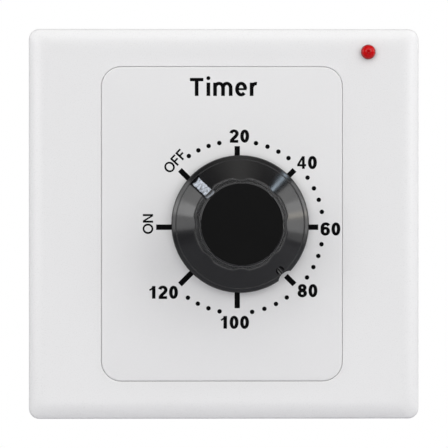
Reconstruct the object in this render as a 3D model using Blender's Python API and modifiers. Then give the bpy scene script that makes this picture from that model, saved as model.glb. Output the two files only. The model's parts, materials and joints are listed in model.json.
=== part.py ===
"""Clockwork wall timer switch on an 86 mm square plate.

Every piece is drawn in the front view: u runs to the right, v runs up and w runs out of the wall towards
the user, in millimetres. In the world u is +X, v is +Z and w is -Y, so the wall is the plane Y = 0 and the
clockwork lies behind it at positive Y.
"""
import math

import bmesh
import bpy
from mathutils import Matrix, Vector

MM = 0.001
GAP = 0.3                       # clearance between neighbouring pieces

# Cover, dial panel and mounting plate
PLATE = 86.0                    # side of the square cover
CORNER = 2.4                    # corner radius of the cover
COVER_FRONT = 8.0               # height of the cover's face above the wall
SKIN = 2.0                      # wall thickness of the cover
PANEL_U = 52.5                  # width of the dial panel
PANEL_V = 69.0                  # height of the dial panel
PANEL_CORNER = 4.3
PANEL_FIT = 0.2                 # gap all round the panel in its window
PANEL_FRONT = 8.12              # the panel's face stands just proud of the cover
PANEL_STEP = 5.7                # front of the panel's retaining flange
PANEL_BACK = 4.7
FLANGE = 1.8                    # flange above and below the panel
BASE = 81.4                     # side of the mounting plate
BASE_FRONT = 4.4                # height of the mounting plate's ribs
BASE_FLOOR = 2.5                # thickness of the mounting plate's floor
RIM = 1.8                       # width of the mounting plate's edge rib
RING_U = 52.0                   # outside of the rib under the panel
RING_V = 72.6
RING = 2.5                      # width of that rib
CLIP_AT = 20.0                  # the cover's four snap clips: distance from the centre line
CLIP_V = (37.0, 38.3)
CLIP_WIDE = 6.0
WALL_SCREW_PITCH = 60.3         # standard pitch of a type 86 wall box

# Shaft and knob
SHAFT = (3.5, 0.0)              # axis of knob and shaft in the front view
SHAFT_R = 3.0
SHAFT_FRONT = 22.5
SHAFT_BACK = -27.6
FLAT = 0.9                      # depth of the shaft's D flat
KNOB_BACK = 9.1
KNOB_FRONT = 26.0
SKIRT_R = 15.1
GRIP_R = 10.2
TOP_R = 9.2
FLUTES = 8
BUSH_R = 5.2
SLOPE_TOP = (10.7, 14.6)        # the skirt's flare runs from here (radius, w) to its foot
SLOPE_FOOT = (14.8, 10.4)
POINTER_RUN = (-1.2, 4.8)       # where the pointer's groove starts and ends along the flare
POINTER_WIDE = 2.8
POINTER_DEPTH = 0.9
POINTER_ANGLE = -46.0           # the pointer stands at OFF, one degree past the printed mark
INLAY_MARGIN = 0.35             # the white inlay stops this far short of the groove's walls
FLUTE_R = 3.0                   # radius of the cutter for the grip's flutes
FLUTE_FOOT = (12.65, 15.1)      # (radius, w) of the cutter's axis at the grip's foot
FLUTE_TOP = (11.9, 27.0)
NOTCH_ANGLE = 139.0             # scallop and set screw, nearly opposite the pointer
NOTCH_OUT = 1.7                 # the scallop's centre lies this far outside the rim
NOTCH_R = 2.5
BUSH_BACK = 10.4
BUSH_FRONT = 20.0
SET_SCREW_LEVEL = 11.9
SET_SCREW_R = 0.9
SET_SCREW = (3.2, 8.2)          # distances of its ends from the shaft's axis
SOCKET_DEPTH = 1.6
SOCKET_R = 0.5
COLLAR = (4.4, -11.9, -12.7)    # clutch collar on the shaft: radius and levels

# Indicator lamp
LAMP = (31.7, 37.8)
LAMP_R = 1.6
LAMP_FRONT = 9.9

# Rear housing
HOUSE_U = 50.0
HOUSE_V = 54.0
HOUSE_BACK = -31.8
HOUSE_WALL = 1.8
BOSS = (21.2, 23.2)             # corner bosses of the housing
BOSS_R = 2.6

# Movement: two plates on four pillars
MOVE_U = 38.0
MOVE_V = 42.0
FRONT_PLATE = (-0.3, -1.5)
REAR_PLATE = (-20.0, -21.2)
PILLAR = (17.0, 19.0)
PILLAR_R = 1.7
FIXING = ((-12.5, 17.2), (12.5, -17.2))
PIVOT_R = 0.55
ARBOR_R = 0.8

# Gear train: teeth, module, and levels of each wheel and pinion
WHEEL_ADD = 0.9                 # tooth height above and below the pitch circle, in modules
WHEEL_DED = 1.2
PINION_ADD = 0.75
PINION_DED = 1.2
GREAT = dict(teeth=48, module=0.5, level=(-9.2, -10.4))
SECOND = dict(teeth=48, module=0.4, level=(-13.0, -13.9), leaves=8, drive=0.5, pinion=(-8.4, -11.2))
THIRD = dict(teeth=42, module=0.35, level=(-16.0, -16.8), leaves=8, drive=0.4, pinion=(-12.2, -14.7))
FOURTH = dict(teeth=42, module=0.35, level=(-11.0, -11.8), leaves=7, drive=0.35, pinion=(-15.2, -17.6))
ESCAPE = dict(teeth=15, tip=4.4, root=3.0, level=(-14.0, -14.8), leaves=7, drive=0.35, pinion=(-10.2, -12.6))
BEARING = dict(second=150.0, third=-100.0, fourth=-80.0, escape=-10.0, pallet=5.0)
PALLET_REACH = 6.3              # distance of the pallet's arbor from the escape wheel's
PIN_REACH = 5.1                 # distance of the pallet pins from the escape wheel's axis
PIN_SPREAD = 42.0               # half the angle between the pins: three and a half teeth in all
PIN_R = 0.3
PALLET_LEVEL = (-15.4, -16.4)

# Mainspring
SPRING_LEVEL = (-3.0, -8.0)
SPRING_IN = 3.6
SPRING_OUT = 9.6
SPRING_TURNS = 4.5
SPRING_THICK = 0.35
POST = (14.6, -1.4)

# Switch behind the rear plate
STOP_LEVEL = (-22.0, -22.8)
STOP_REACH = 11.0
STOP_BEARING = 247.5            # the stop pin: 67.5 degrees anticlockwise of the stop arm at OFF
CAM_LEVEL = (-23.4, -26.6)
CAM_R = 7.2
LOBE_R = 8.0
LOBE_BEARING = 270.0            # the lobe presses the moving leaf while the knob is at OFF
LOBE_HALF = 24.0                # half the angle from one foot of the lobe to the other
LOBE_RAMP = 12.0                # angle over which the cam climbs to the lobe
LEAF_LEVEL = (-23.2, -26.8)
LEAF_THICK = 0.35
LEAF_U = -5.5
LEAF_TOP = 12.0
LEAF_FOOT = -11.0
CONTACT_V = -9.6
CONTACT_R = 1.2
CONTACT_THICK = 0.7
CONTACT_GAP = 1.0
LEAF_BEND_V = -14.9             # where the fixed leaf turns towards its terminal
BLOCK_U = (-9.0, -2.4)
BLOCK_V = (12.3, 18.5)
BLOCK_LEVEL = (-21.5, -27.6)
TERMINALS = (-10.5, 0.0, 10.5)
TERMINAL_LEVEL = (-22.6, -29.0)
TERMINAL_V = (-21.6, -15.6)
TERMINAL_HALF = 3.1
TERMINAL_BLOCK_HALF = 15.4
TERMINAL_BLOCK_BOTTOM = -24.8
TERMINAL_WIRE_V = -18.0         # height of the ways for the house wires

# Wires: (u, v, w) points along each route
LAMP_WIRE_R = 0.5
JUMPER_R = 0.6
LIVE_ROUTE = (
    (28.6, 31.0, 3.3), (27.4, 29.8, 3.3), (24.7, 29.2, 3.3), (20.0, 27.6, 3.3), (13.6, 24.9, 3.3),
    (11.3, 23.7, 0.8), (11.2, 23.4, -3), (11.2, 23.4, -12), (11.2, 23.4, -20), (11.8, 22.4, -23.6),
    (13.8, 18.5, -25.5), (15.2, 12, -25.6), (15.2, 0, -25.6), (13.8, -7.2, -25.6), (9.0, -11.3, -25.7),
    (3.0, -12.4, -25.8), (1.1, -13.2, -25.8), (0.8, -14.2, -25.8),
)
NEUTRAL_ROUTE = (
    (31.0, 31.0, 3.3), (29.2, 28.6, 3.3), (24.7, 27.8, 3.3), (20.0, 26.1, 3.3), (14.9, 23.8, 3.3),
    (12.9, 23.4, 0.8), (12.8, 23.4, -3), (12.8, 23.4, -12), (12.8, 23.4, -20), (13.6, 22.4, -23.4),
    (15.8, 18.5, -25.4), (17.0, 12, -25.6), (17.0, 0, -25.6), (16.2, -7.6, -25.6), (12.0, -12.4, -25.7),
    (10.6, -14.0, -25.8), (10.5, -15.3, -25.8),
)
JUMPER_ROUTE = (
    (-10.5, -15.2, -25.8), (-11.2, -10, -25.8), (-12.2, 0, -25.8), (-11.6, 10, -25.8), (-10.4, 14.2, -25.8),
    (-9.4, 15.2, -25.8),
)

COLLECTION = "clockwork_wall_timer"


# ---------------------------------------------------------------- helpers

def clear_scene():
    for obj in list(bpy.data.objects):
        bpy.data.objects.remove(obj, do_unlink=True)


def collection(name):
    group = bpy.data.collections.new(name)
    bpy.context.scene.collection.children.link(group)
    return group


def finish(name, colour, roughness, metallic=0.0):
    material = bpy.data.materials.new(name)
    material.use_nodes = True
    shader = material.node_tree.nodes["Principled BSDF"]
    shader.inputs["Base Color"].default_value = (*colour, 1.0)
    shader.inputs["Roughness"].default_value = roughness
    shader.inputs["Metallic"].default_value = metallic
    return material


def place(obj, at, material):
    """Stand an object drawn in the front view at (u, v); without a material it is a cutter."""
    obj.location = (at[0] * MM, 0, at[1] * MM)
    obj.rotation_euler = (math.pi / 2, 0, 0)
    if material is None:
        tools.objects.link(obj)
        obj.hide_render = True
        obj.display_type = "WIRE"
    else:
        pieces.objects.link(obj)
        obj.data.materials.clear()
        obj.data.materials.append(material)
    return obj


def turned(name, profile, at, material, steps=24, ring=False):
    """A turned piece from (radius, w) points that run down its outer side; a ring's profile closes."""
    mesh = bpy.data.meshes.new(name)
    points = [(radius * MM, 0, w * MM) for radius, w in profile]
    count = len(points)
    edges = [(i, (i + 1) % count) for i in range(count if ring else count - 1)]
    mesh.from_pydata(points, edges, [])
    obj = bpy.data.objects.new(name, mesh)
    screw = obj.modifiers.new("Turn", "SCREW")
    screw.axis = "Z"
    screw.steps = steps
    screw.render_steps = steps
    screw.use_merge_vertices = True
    screw.merge_threshold = 0.00001
    return place(obj, at, material)


def flat(name, outlines, levels, at, material):
    """A flat piece between two w levels; the first outline is its edge and the others are holes."""
    low, high = sorted(levels)
    curve = bpy.data.curves.new(name, "CURVE")
    curve.dimensions = "2D"
    curve.fill_mode = "BOTH"
    curve.extrude = (high - low) / 2 * MM
    for outline in outlines:
        spline = curve.splines.new("POLY")
        spline.points.add(len(outline) - 1)
        spline.use_cyclic_u = True
        for point, (u, v) in zip(spline.points, outline):
            point.co = (u * MM, v * MM, 0, 1)
    sketch = bpy.data.objects.new(name + "_sketch", curve)
    bpy.context.scene.collection.objects.link(sketch)
    graph = bpy.context.evaluated_depsgraph_get()
    mesh = bpy.data.meshes.new_from_object(sketch.evaluated_get(graph))
    bpy.data.objects.remove(sketch)
    mesh.name = name
    shape = bmesh.new()
    shape.from_mesh(mesh)
    bmesh.ops.remove_doubles(shape, verts=shape.verts, dist=0.000001)
    bmesh.ops.translate(shape, verts=shape.verts, vec=(0, 0, (low + high) / 2 * MM))
    bmesh.ops.recalc_face_normals(shape, faces=shape.faces)
    shape.to_mesh(mesh)
    shape.free()
    return place(bpy.data.objects.new(name, mesh), at, material)


def box(name, u, v, w, at, material):
    """A box between pairs of u, v and w."""
    mesh = bpy.data.meshes.new(name)
    shape = bmesh.new()
    centre = Vector((sum(u), sum(v), sum(w))) / 2 * MM
    size = [abs(side[1] - side[0]) * MM for side in (u, v, w)]
    bmesh.ops.create_cube(shape, size=1, matrix=Matrix.Translation(centre) @ Matrix.Diagonal((*size, 1)))
    shape.to_mesh(mesh)
    shape.free()
    return place(bpy.data.objects.new(name, mesh), at, material)


def rod(name, start, end, radius, at, material, sides=12, end_radius=None):
    """A round bar or cone from one (u, v, w) point to another."""
    mesh = bpy.data.meshes.new(name)
    shape = bmesh.new()
    start = Vector(start) * MM
    along = Vector(end) * MM - start
    turn = along.to_track_quat("Z", "Y").to_matrix().to_4x4()
    matrix = Matrix.Translation(start + along / 2) @ turn
    far = radius if end_radius is None else end_radius
    bmesh.ops.create_cone(shape, cap_ends=True, segments=sides, radius1=radius * MM, radius2=far * MM,
                          depth=along.length, matrix=matrix)
    shape.to_mesh(mesh)
    shape.free()
    return place(bpy.data.objects.new(name, mesh), at, material)


def wire(name, points, radius, at, material):
    """A round wire through (u, v, w) points, smoothed between them."""
    curve = bpy.data.curves.new(name, "CURVE")
    curve.dimensions = "3D"
    curve.bevel_depth = radius * MM
    curve.bevel_resolution = 2
    curve.use_fill_caps = True
    route = smooth_route([Vector(point) for point in points])
    spline = curve.splines.new("POLY")
    spline.points.add(len(route) - 1)
    for point, place_at in zip(spline.points, route):
        point.co = (*(place_at * MM), 1)
    sketch = bpy.data.objects.new(name + "_sketch", curve)
    bpy.context.scene.collection.objects.link(sketch)
    graph = bpy.context.evaluated_depsgraph_get()
    mesh = bpy.data.meshes.new_from_object(sketch.evaluated_get(graph))
    bpy.data.objects.remove(sketch)
    mesh.name = name
    shape = bmesh.new()
    shape.from_mesh(mesh)
    bmesh.ops.remove_doubles(shape, verts=shape.verts, dist=0.000001)
    bmesh.ops.recalc_face_normals(shape, faces=shape.faces)
    shape.to_mesh(mesh)
    shape.free()
    return place(bpy.data.objects.new(name, mesh), at, material)


def smooth_route(points, per_stretch=2):
    """Points along a Catmull-Rom curve through the given ones."""
    padded = [points[0]] + points + [points[-1]]
    route = []
    for before, start, end, after in zip(padded, padded[1:], padded[2:], padded[3:]):
        for step in range(per_stretch):
            t = step / per_stretch
            route.append(0.5 * (2 * start + (end - before) * t
                                + (2 * before - 5 * start + 4 * end - after) * t * t
                                + (3 * start - before - 3 * end + after) * t * t * t))
    route.append(points[-1])
    return route


def cut(obj, *cutters):
    for cutter in cutters:
        modifier = obj.modifiers.new("Cut " + cutter.name, "BOOLEAN")
        modifier.operation = "DIFFERENCE"
        modifier.object = cutter


def join(obj, *extras):
    for extra in extras:
        modifier = obj.modifiers.new("Join " + extra.name, "BOOLEAN")
        modifier.operation = "UNION"
        modifier.object = extra


def polar(radius, clockwise):
    """Point at a clockwise angle from the top, in degrees."""
    angle = math.radians(clockwise)
    return radius * math.sin(angle), radius * math.cos(angle)


def circle(radius, centre=(0, 0), sides=16):
    angles = [2 * math.pi * i / sides for i in range(sides)]
    return [(centre[0] + radius * math.cos(a), centre[1] + radius * math.sin(a)) for a in angles]


def rounded(width, height, radius, arc=5, centre=(0, 0)):
    """Rectangle with round corners."""
    points = []
    for quarter, (side_u, side_v) in enumerate(((1, 1), (-1, 1), (-1, -1), (1, -1))):
        for step in range(arc + 1):
            angle = math.pi / 2 * (quarter + step / arc)
            points.append((centre[0] + side_u * (width / 2 - radius) + radius * math.cos(angle),
                           centre[1] + side_v * (height / 2 - radius) + radius * math.sin(angle)))
    return points


def from_centre(centre, distance, bearing):
    angle = math.radians(bearing)
    return centre[0] + distance * math.cos(angle), centre[1] + distance * math.sin(angle)


def toothed(teeth, module, addendum, dedendum, tip_share, root_share, phase):
    """Outline of a clock gear: straight-flanked teeth with plenty of backlash."""
    pitch = 2 * math.pi / teeth
    radius = teeth * module / 2
    points = []
    for tooth in range(teeth):
        centre = phase + tooth * pitch
        for reach, share in ((-dedendum, -root_share), (addendum, -tip_share),
                             (addendum, tip_share), (-dedendum, root_share)):
            angle = centre + share * pitch
            points.append(((radius + reach * module) * math.cos(angle),
                           (radius + reach * module) * math.sin(angle)))
    return points


def wheel_outline(gear, phase):
    return toothed(gear["teeth"], gear["module"], WHEEL_ADD, WHEEL_DED, 0.09, 0.29, phase)


def pinion_outline(gear, phase):
    return toothed(gear["leaves"], gear["drive"], PINION_ADD, PINION_DED, 0.08, 0.2, phase)


def meshed_phase(phase, teeth, bearing, leaves):
    """Phase of a pinion whose gap receives the tooth of a wheel that faces it."""
    bearing = math.radians(bearing)
    pitch = 2 * math.pi / teeth
    share = ((bearing - phase) % pitch) / pitch
    return bearing + math.pi + (share + 0.5) * 2 * math.pi / leaves


# ---------------------------------------------------------------- cover, panel and mounting plate

def trim_frame():
    """Snap-on cover: a shallow tray with a window for the dial panel and a hole for the lamp."""
    body = flat("trim_frame", [rounded(PLATE, PLATE, CORNER)], (GAP, COVER_FRONT), (0, 0), white_plastic)
    edge = body.modifiers.new("Soft front edge", "BEVEL")
    edge.width = 1.2 * MM
    edge.segments = 2
    edge.limit_method = "WEIGHT"
    soften_front_edge(body, COVER_FRONT)
    inside = PLATE - 2 * SKIN
    hollow = flat("cover_hollow", [rounded(inside, inside, CORNER - 1.2)], (-1, COVER_FRONT - SKIN),
                  (0, 0), None)
    fit = 2 * PANEL_FIT
    window = flat("cover_window", [rounded(PANEL_U + fit, PANEL_V + fit, PANEL_CORNER + PANEL_FIT)],
                  (COVER_FRONT - SKIN - 1, COVER_FRONT + 1), (0, 0), None)
    lamp_hole = rod("cover_lamp_hole", (*LAMP, COVER_FRONT - SKIN - 1), (*LAMP, COVER_FRONT + 1),
                    LAMP_R + 0.25, (0, 0), None, sides=16)
    pry_slot = box("cover_pry_slot", (-4, 4), (-PLATE / 2 - 1, -PLATE / 2 + SKIN + 0.5), (-1, 1.6),
                   (0, 0), None)
    cut(body, hollow, window, lamp_hole, pry_slot)
    for side_u in (-1, 1):
        for side_v in (-1, 1):
            join(body, snap_clip(side_u, side_v))


def soften_front_edge(obj, level):
    """Mark the outer edge of the face at this level for its bevel."""
    weights = obj.data.attributes.new("bevel_weight_edge", "FLOAT", "EDGE")
    vertices = obj.data.vertices
    outer = PLATE / 2 - CORNER
    for edge in obj.data.edges:
        ends = [vertices[i].co / MM for i in edge.vertices]
        on_level = all(abs(end.z - level) < 0.001 for end in ends)
        on_border = all(on_rounded_border(end.x, end.y, outer, CORNER) for end in ends)
        if on_level and on_border and (ends[0] - ends[1]).length < 2 * outer + 0.01:
            weights.data[edge.index].value = 1.0


def on_rounded_border(u, v, straight, radius):
    beyond = Vector((max(abs(u) - straight, 0), max(abs(v) - straight, 0)))
    return abs(beyond.length - radius) < 0.01


def snap_clip(side_u, side_v):
    """A springy leg behind the cover's face, with a nose that catches under the mounting plate."""
    u = (side_u * CLIP_AT - CLIP_WIDE / 2, side_u * CLIP_AT + CLIP_WIDE / 2)
    low, high = CLIP_V
    name = f"clip_{'right' if side_u > 0 else 'left'}_{'top' if side_v > 0 else 'bottom'}"
    outline = [(low, COVER_FRONT - SKIN + 0.5), (low, 0.6), (high, 0.6), (high + 0.6, 1.2), (high, 1.5),
               (high, COVER_FRONT - SKIN + 0.5)]
    clip = flat(name, [[(side_v * v, w) for v, w in outline]], u, (0, 0), None)
    # The outline is drawn in v and w and extruded along u.
    swap = Matrix(((0, 0, 1, 0), (1, 0, 0, 0), (0, 1, 0, 0), (0, 0, 0, 1)))
    clip.data.transform(swap)
    return clip


def mounting_plate():
    """Moulded base on the wall: floor, edge rib, rib under the panel, slots and screw holes."""
    body = flat("mounting_plate", [rounded(BASE, BASE, 2.0, arc=3)], (0, BASE_FRONT), (0, 0), base_plastic)
    channel_out = BASE - 2 * RIM
    channel = flat("base_channel", [rounded(channel_out, channel_out, 1.0, arc=2),
                                    rounded(RING_U, RING_V, 2.0, arc=3)],
                   (BASE_FLOOR, BASE_FRONT + 1), (0, 0), None)
    pocket = flat("base_pocket", [rounded(RING_U - 2 * RING, RING_V - 2 * RING, 1.5, arc=3)],
                  (BASE_FLOOR, BASE_FRONT + 1), (0, 0), None)
    wire_notch = box("base_wire_notch", (RING_U / 2 - RING - 1, RING_U / 2 + 1), (26.2, 31.0),
                     (BASE_FLOOR, BASE_FRONT + 1), (0, 0), None)
    shaft_hole = rod("base_shaft_hole", (*SHAFT, -1), (*SHAFT, 6), SHAFT_R + 1.2, (0, 0), None, sides=20)
    wire_hole = rod("base_wire_hole", (12, 23.4, -1), (12, 23.4, 6), 2.5, (0, 0), None)
    cut(body, channel, pocket, wire_notch, shaft_hole, wire_hole)
    for side in (-1, 1):
        outline = rounded(4.6, 8.0, 2.2, arc=3, centre=(side * WALL_SCREW_PITCH / 2, 0))
        cut(body, flat(f"base_wall_slot_{side}", [outline], (-1, 6), (0, 0), None))
    for side_u in (-1, 1):
        for side_v in (-1, 1):
            boss_at = (side_u * BOSS[0], side_v * BOSS[1])
            cut(body, *screw_hole(f"base_housing_hole_{side_u}_{side_v}", boss_at, 1.6, 2.9))
            cut(body, *clip_slot(side_u, side_v))
    for number, at in enumerate(FIXING):
        cut(body, *screw_hole(f"base_fixing_hole_{number}", at, 1.8, 3.2))


def screw_hole(name, at, radius, head_radius):
    """A clearance hole with a countersink at the floor of the mounting plate."""
    hole = rod(name, (*at, -1), (*at, BASE_FLOOR + 1), radius, (0, 0), None)
    sink = rod(name + "_sink", (*at, BASE_FLOOR - 1.6), (*at, BASE_FLOOR + 0.2), radius - 0.2, (0, 0), None,
               end_radius=head_radius + 0.2)
    return hole, sink


def clip_slot(side_u, side_v):
    """Slot for a snap clip, undercut on its outer side so that the nose catches."""
    u = (side_u * CLIP_AT - CLIP_WIDE / 2 - 0.5, side_u * CLIP_AT + CLIP_WIDE / 2 + 0.5)
    low, high = CLIP_V
    name = f"base_clip_slot_{side_u}_{side_v}"
    narrow = sorted((side_v * (low - GAP), side_v * (high + GAP)))
    wide = sorted((side_v * (low - GAP), side_v * (high + 1.0)))
    through = box(name, u, narrow, (-1, 6), (0, 0), None)
    under = box(name + "_under", u, wide, (-1, 1.9), (0, 0), None)
    return through, under


def dial_panel():
    """Raised panel in the window, held behind the cover by a flange at its top and bottom."""
    body = flat("dial_panel", [rounded(PANEL_U, PANEL_V, PANEL_CORNER), circle(SHAFT_R + 1.4, SHAFT, 20)],
                (PANEL_BACK, PANEL_FRONT), (0, 0), panel_plastic)
    for side in (-1, 1):
        reach = sorted((side * (PANEL_V / 2 - 2), side * (PANEL_V / 2 + FLANGE)))
        join(body, box(f"panel_flange_{side}", (-21, 21), reach, (PANEL_BACK, PANEL_STEP), (0, 0), None))
    relief = flat("panel_relief", [rounded(PANEL_U - 4, PANEL_V - 4, 3, arc=3)],
                  (PANEL_BACK - 1, PANEL_BACK + 1.2), (0, 0), None)
    cut(body, relief)


def pan_screw(name, at, head_top, shank_end, head_radius, head_height, shank_radius):
    """Pan-head screw along w with a straight slot."""
    under_head = head_top - head_height
    profile = [(0, head_top), (head_radius * 0.7, head_top), (head_radius, head_top - head_height * 0.45),
               (head_radius, under_head), (shank_radius, under_head),
               (shank_radius, shank_end + shank_radius), (0.3 * shank_radius, shank_end), (0, shank_end)]
    body = turned(name, profile, at, steel, steps=14)
    slot = box(name + "_slot", (-head_radius - 1, head_radius + 1), (-0.4, 0.4),
               (head_top - head_height * 0.5, head_top + 1), at, None)
    cut(body, slot)


def sunk_screw(name, at, head_top, shank_end, head_radius, shank_radius):
    """Countersunk screw along w with a straight slot."""
    profile = [(0, head_top), (head_radius, head_top), (shank_radius, head_top - 1.5),
               (shank_radius, shank_end + shank_radius), (0.3 * shank_radius, shank_end), (0, shank_end)]
    body = turned(name, profile, at, steel, steps=12)
    slot = box(name + "_slot", (-head_radius - 1, head_radius + 1), (-0.35, 0.35),
               (head_top - 0.8, head_top + 1), at, None)
    cut(body, slot)


def mounting_screws():
    for side, word in ((-1, "left"), (1, "right")):
        pan_screw(f"wall_screw_{word}", (side * WALL_SCREW_PITCH / 2, 0), 5.0, -20.0, 3.5, 2.2, 1.9)
    for side_u, word_u in ((-1, "left"), (1, "right")):
        for side_v, word_v in ((-1, "lower"), (1, "upper")):
            sunk_screw(f"housing_screw_{word_v}_{word_u}", (side_u * BOSS[0], side_v * BOSS[1]),
                       BASE_FLOOR - 0.1, -8.0, 2.5, 1.1)
    for word, at in zip(("upper", "lower"), FIXING):
        sunk_screw(f"timer_fixing_screw_{word}", at, BASE_FLOOR - 0.1, -2.4, 2.8, 1.2)


# ---------------------------------------------------------------- knob, shaft and what turns with them

def knob():
    """Moulded knob: conical skirt, fluted grip and a hollow back with a boss for the bush."""
    outside = [(0, KNOB_FRONT), (TOP_R - 0.5, KNOB_FRONT), (TOP_R, KNOB_FRONT - 0.5), (GRIP_R - 0.1, 15.8),
               SLOPE_TOP, SLOPE_FOOT, (SKIRT_R, SLOPE_FOOT[1] - 0.2), (SKIRT_R, KNOB_BACK)]
    hollow = [(13.4, KNOB_BACK), (12.6, 10.2), (10.2, 12.4), (9.0, 13.2), (7.6, 13.2), (7.6, KNOB_BACK + 1.2),
              (BUSH_R + GAP, KNOB_BACK + 1.2), (BUSH_R + GAP, SHAFT_FRONT + 0.5), (0, SHAFT_FRONT + 0.5)]
    body = turned("knob", outside + hollow, SHAFT, black_plastic, steps=40)
    for flute in range(FLUTES):
        angle = flute * 360 / FLUTES
        start = (*polar(FLUTE_FOOT[0], angle), FLUTE_FOOT[1])
        end = (*polar(FLUTE_TOP[0], angle), FLUTE_TOP[1])
        cut(body, rod(f"knob_flute_{flute}", start, end, FLUTE_R, SHAFT, None, sides=12))
    scallop = polar(SKIRT_R + NOTCH_OUT, NOTCH_ANGLE)
    cut(body, rod("knob_scallop", (*scallop, KNOB_BACK - 1), (*scallop, SLOPE_FOOT[1] + 1), NOTCH_R, SHAFT,
                  None, sides=16))
    cut(body, set_screw_bar("knob_set_screw_hole", BUSH_R - 1, SKIRT_R + 2, SET_SCREW_R + GAP, None))
    cut(body, pointer_bar("knob_pointer_groove", 0, 2.0, None))


def set_screw_bar(name, inner, outer, radius, material, sides=12):
    """A bar along the set screw's axis between two distances from the shaft's axis."""
    start = (*polar(inner, NOTCH_ANGLE), SET_SCREW_LEVEL)
    end = (*polar(outer, NOTCH_ANGLE), SET_SCREW_LEVEL)
    return rod(name, start, end, radius, SHAFT, material, sides)


def pointer_bar(name, margin, outside, material):
    """Bar along the skirt's slope at the pointer's angle, from inside the skirt to a height outside it."""
    top, foot = Vector(SLOPE_TOP), Vector(SLOPE_FOOT)
    along = (foot - top).normalized()
    out = Vector((-along.y, along.x))
    depth = POINTER_DEPTH - margin
    half = POINTER_WIDE / 2 - margin
    start, end = POINTER_RUN[0] + margin, POINTER_RUN[1] - margin
    corners = ((start, outside), (start, -depth), (end, -depth), (end, outside))
    outline = [tuple(top + along * run + out * rise) for run, rise in corners]
    bar = flat(name, [outline], (-half, half), SHAFT, material)
    # The outline is drawn in radius and w, then turned to the pointer's angle.
    u, v = polar(1, POINTER_ANGLE)
    bar.data.transform(Matrix(((u, 0, v, 0), (v, 0, -u, 0), (0, 1, 0, 0), (0, 0, 0, 1))))
    return bar


def knob_fittings():
    """White inlay in the groove, brass bush in the boss, and the set screw that clamps the shaft."""
    pointer_bar("pointer_inlay", INLAY_MARGIN, 0.1, inlay_white)
    bore = SHAFT_R + GAP
    profile = [(BUSH_R, BUSH_FRONT), (BUSH_R, BUSH_BACK), (bore, BUSH_BACK), (bore, BUSH_FRONT)]
    bush = turned("knob_bush", profile, SHAFT, brass, steps=24, ring=True)
    cut(bush, set_screw_bar("bush_set_screw_hole", SHAFT_R - 1, BUSH_R + 2, SET_SCREW_R + GAP, None))
    near, far = SET_SCREW
    screw = set_screw_bar("knob_set_screw", near, far, SET_SCREW_R, steel)
    cut(screw, set_screw_bar("set_screw_socket", far - SOCKET_DEPTH, far + 1, SOCKET_R, None, sides=6))


def main_arbor():
    """Shaft from the knob through both movement plates to the cam, with a D flat and a clutch collar."""
    collar, front, back = COLLAR
    profile = [(0, SHAFT_FRONT), (SHAFT_R - 0.4, SHAFT_FRONT), (SHAFT_R, SHAFT_FRONT - 0.4), (SHAFT_R, front),
               (collar, front), (collar, back), (SHAFT_R, back), (SHAFT_R, SHAFT_BACK), (0, SHAFT_BACK)]
    body = turned("main_arbor", profile, SHAFT, steel, steps=20)
    flat_side = polar(1, NOTCH_ANGLE)
    middle = SHAFT_R - FLAT + 2
    cutter = box("arbor_flat", (-3, 3), (-2, 2), (KNOB_BACK, SHAFT_FRONT + 1), SHAFT, None)
    cutter.data.transform(Matrix.Translation((middle * flat_side[0] * MM, middle * flat_side[1] * MM, 0))
                          @ Matrix.Rotation(math.radians(-NOTCH_ANGLE), 4, "Z"))
    cut(body, cutter)


def cam_and_stop():
    """Switching cam with one lobe, the stop arm on the shaft, and the stop pin in the rear plate."""
    outline = []
    for step in range(40):
        angle = 360 * step / 40
        off_lobe = abs((angle - LOBE_BEARING + 180) % 360 - 180)
        share = max(0.0, min(1.0, (LOBE_HALF - off_lobe) / LOBE_RAMP))
        outline.append(polar(CAM_R + share * (LOBE_R - CAM_R), angle))
    flat("switching_cam", [outline, circle(SHAFT_R + GAP, sides=20)], CAM_LEVEL, SHAFT, cam_nylon)
    hub = circle(5.0, sides=20)
    arm = flat("stop_arm", [hub, circle(SHAFT_R + GAP, sides=20)], STOP_LEVEL, SHAFT, steel)
    reach = box("stop_arm_reach", (-2.0, 2.0), (SHAFT_R + 1.2, STOP_REACH), STOP_LEVEL, SHAFT, None)
    reach.data.transform(Matrix.Rotation(math.radians(45), 4, "Z"))
    join(arm, reach)
    at = stop_pin_at()
    rod("stop_pin", (*at, REAR_PLATE[1] - 0.2), (*at, STOP_LEVEL[1] - 0.1), 1.5, (0, 0), steel)


def stop_pin_at():
    u, v = polar(STOP_REACH - 1.6, STOP_BEARING)
    return SHAFT[0] + u, SHAFT[1] + v


def clutch_spring():
    """Dished washer that presses the great wheel against its seat."""
    turned("clutch_spring", [(3.4, -10.9), (5.8, -10.7), (5.8, -11.0), (3.4, -11.6)], SHAFT, spring_steel,
           steps=20, ring=True)


# ---------------------------------------------------------------- movement

def train():
    """Axes and tooth phases of the gear train, worked out from the great wheel on the shaft."""
    axes = {"great": SHAFT}
    phases = {"great": 0.0}
    chain = (("great", GREAT, "second", SECOND), ("second", SECOND, "third", THIRD),
             ("third", THIRD, "fourth", FOURTH), ("fourth", FOURTH, "escape", ESCAPE))
    for driver, wheel, follower, pinion in chain:
        distance = (wheel["teeth"] + pinion["leaves"]) * wheel["module"] / 2
        bearing = BEARING[follower]
        axes[follower] = from_centre(axes[driver], distance, bearing)
        phases[follower] = meshed_phase(phases[driver], wheel["teeth"], bearing, pinion["leaves"])
    axes["pallet"] = from_centre(axes["escape"], PALLET_REACH, BEARING["pallet"])
    return axes, phases


def gear_set(name, gear, axis, phase):
    """A wheel on its pinion: the wheel takes the pinion's phase, so both mesh at rest."""
    flat(f"{name}_wheel", [wheel_outline(gear, phase), circle(ARBOR_R + 0.25, sides=12)], gear["level"], axis,
         brass)
    pinion_on_arbor(name, gear, axis, phase)


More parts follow.
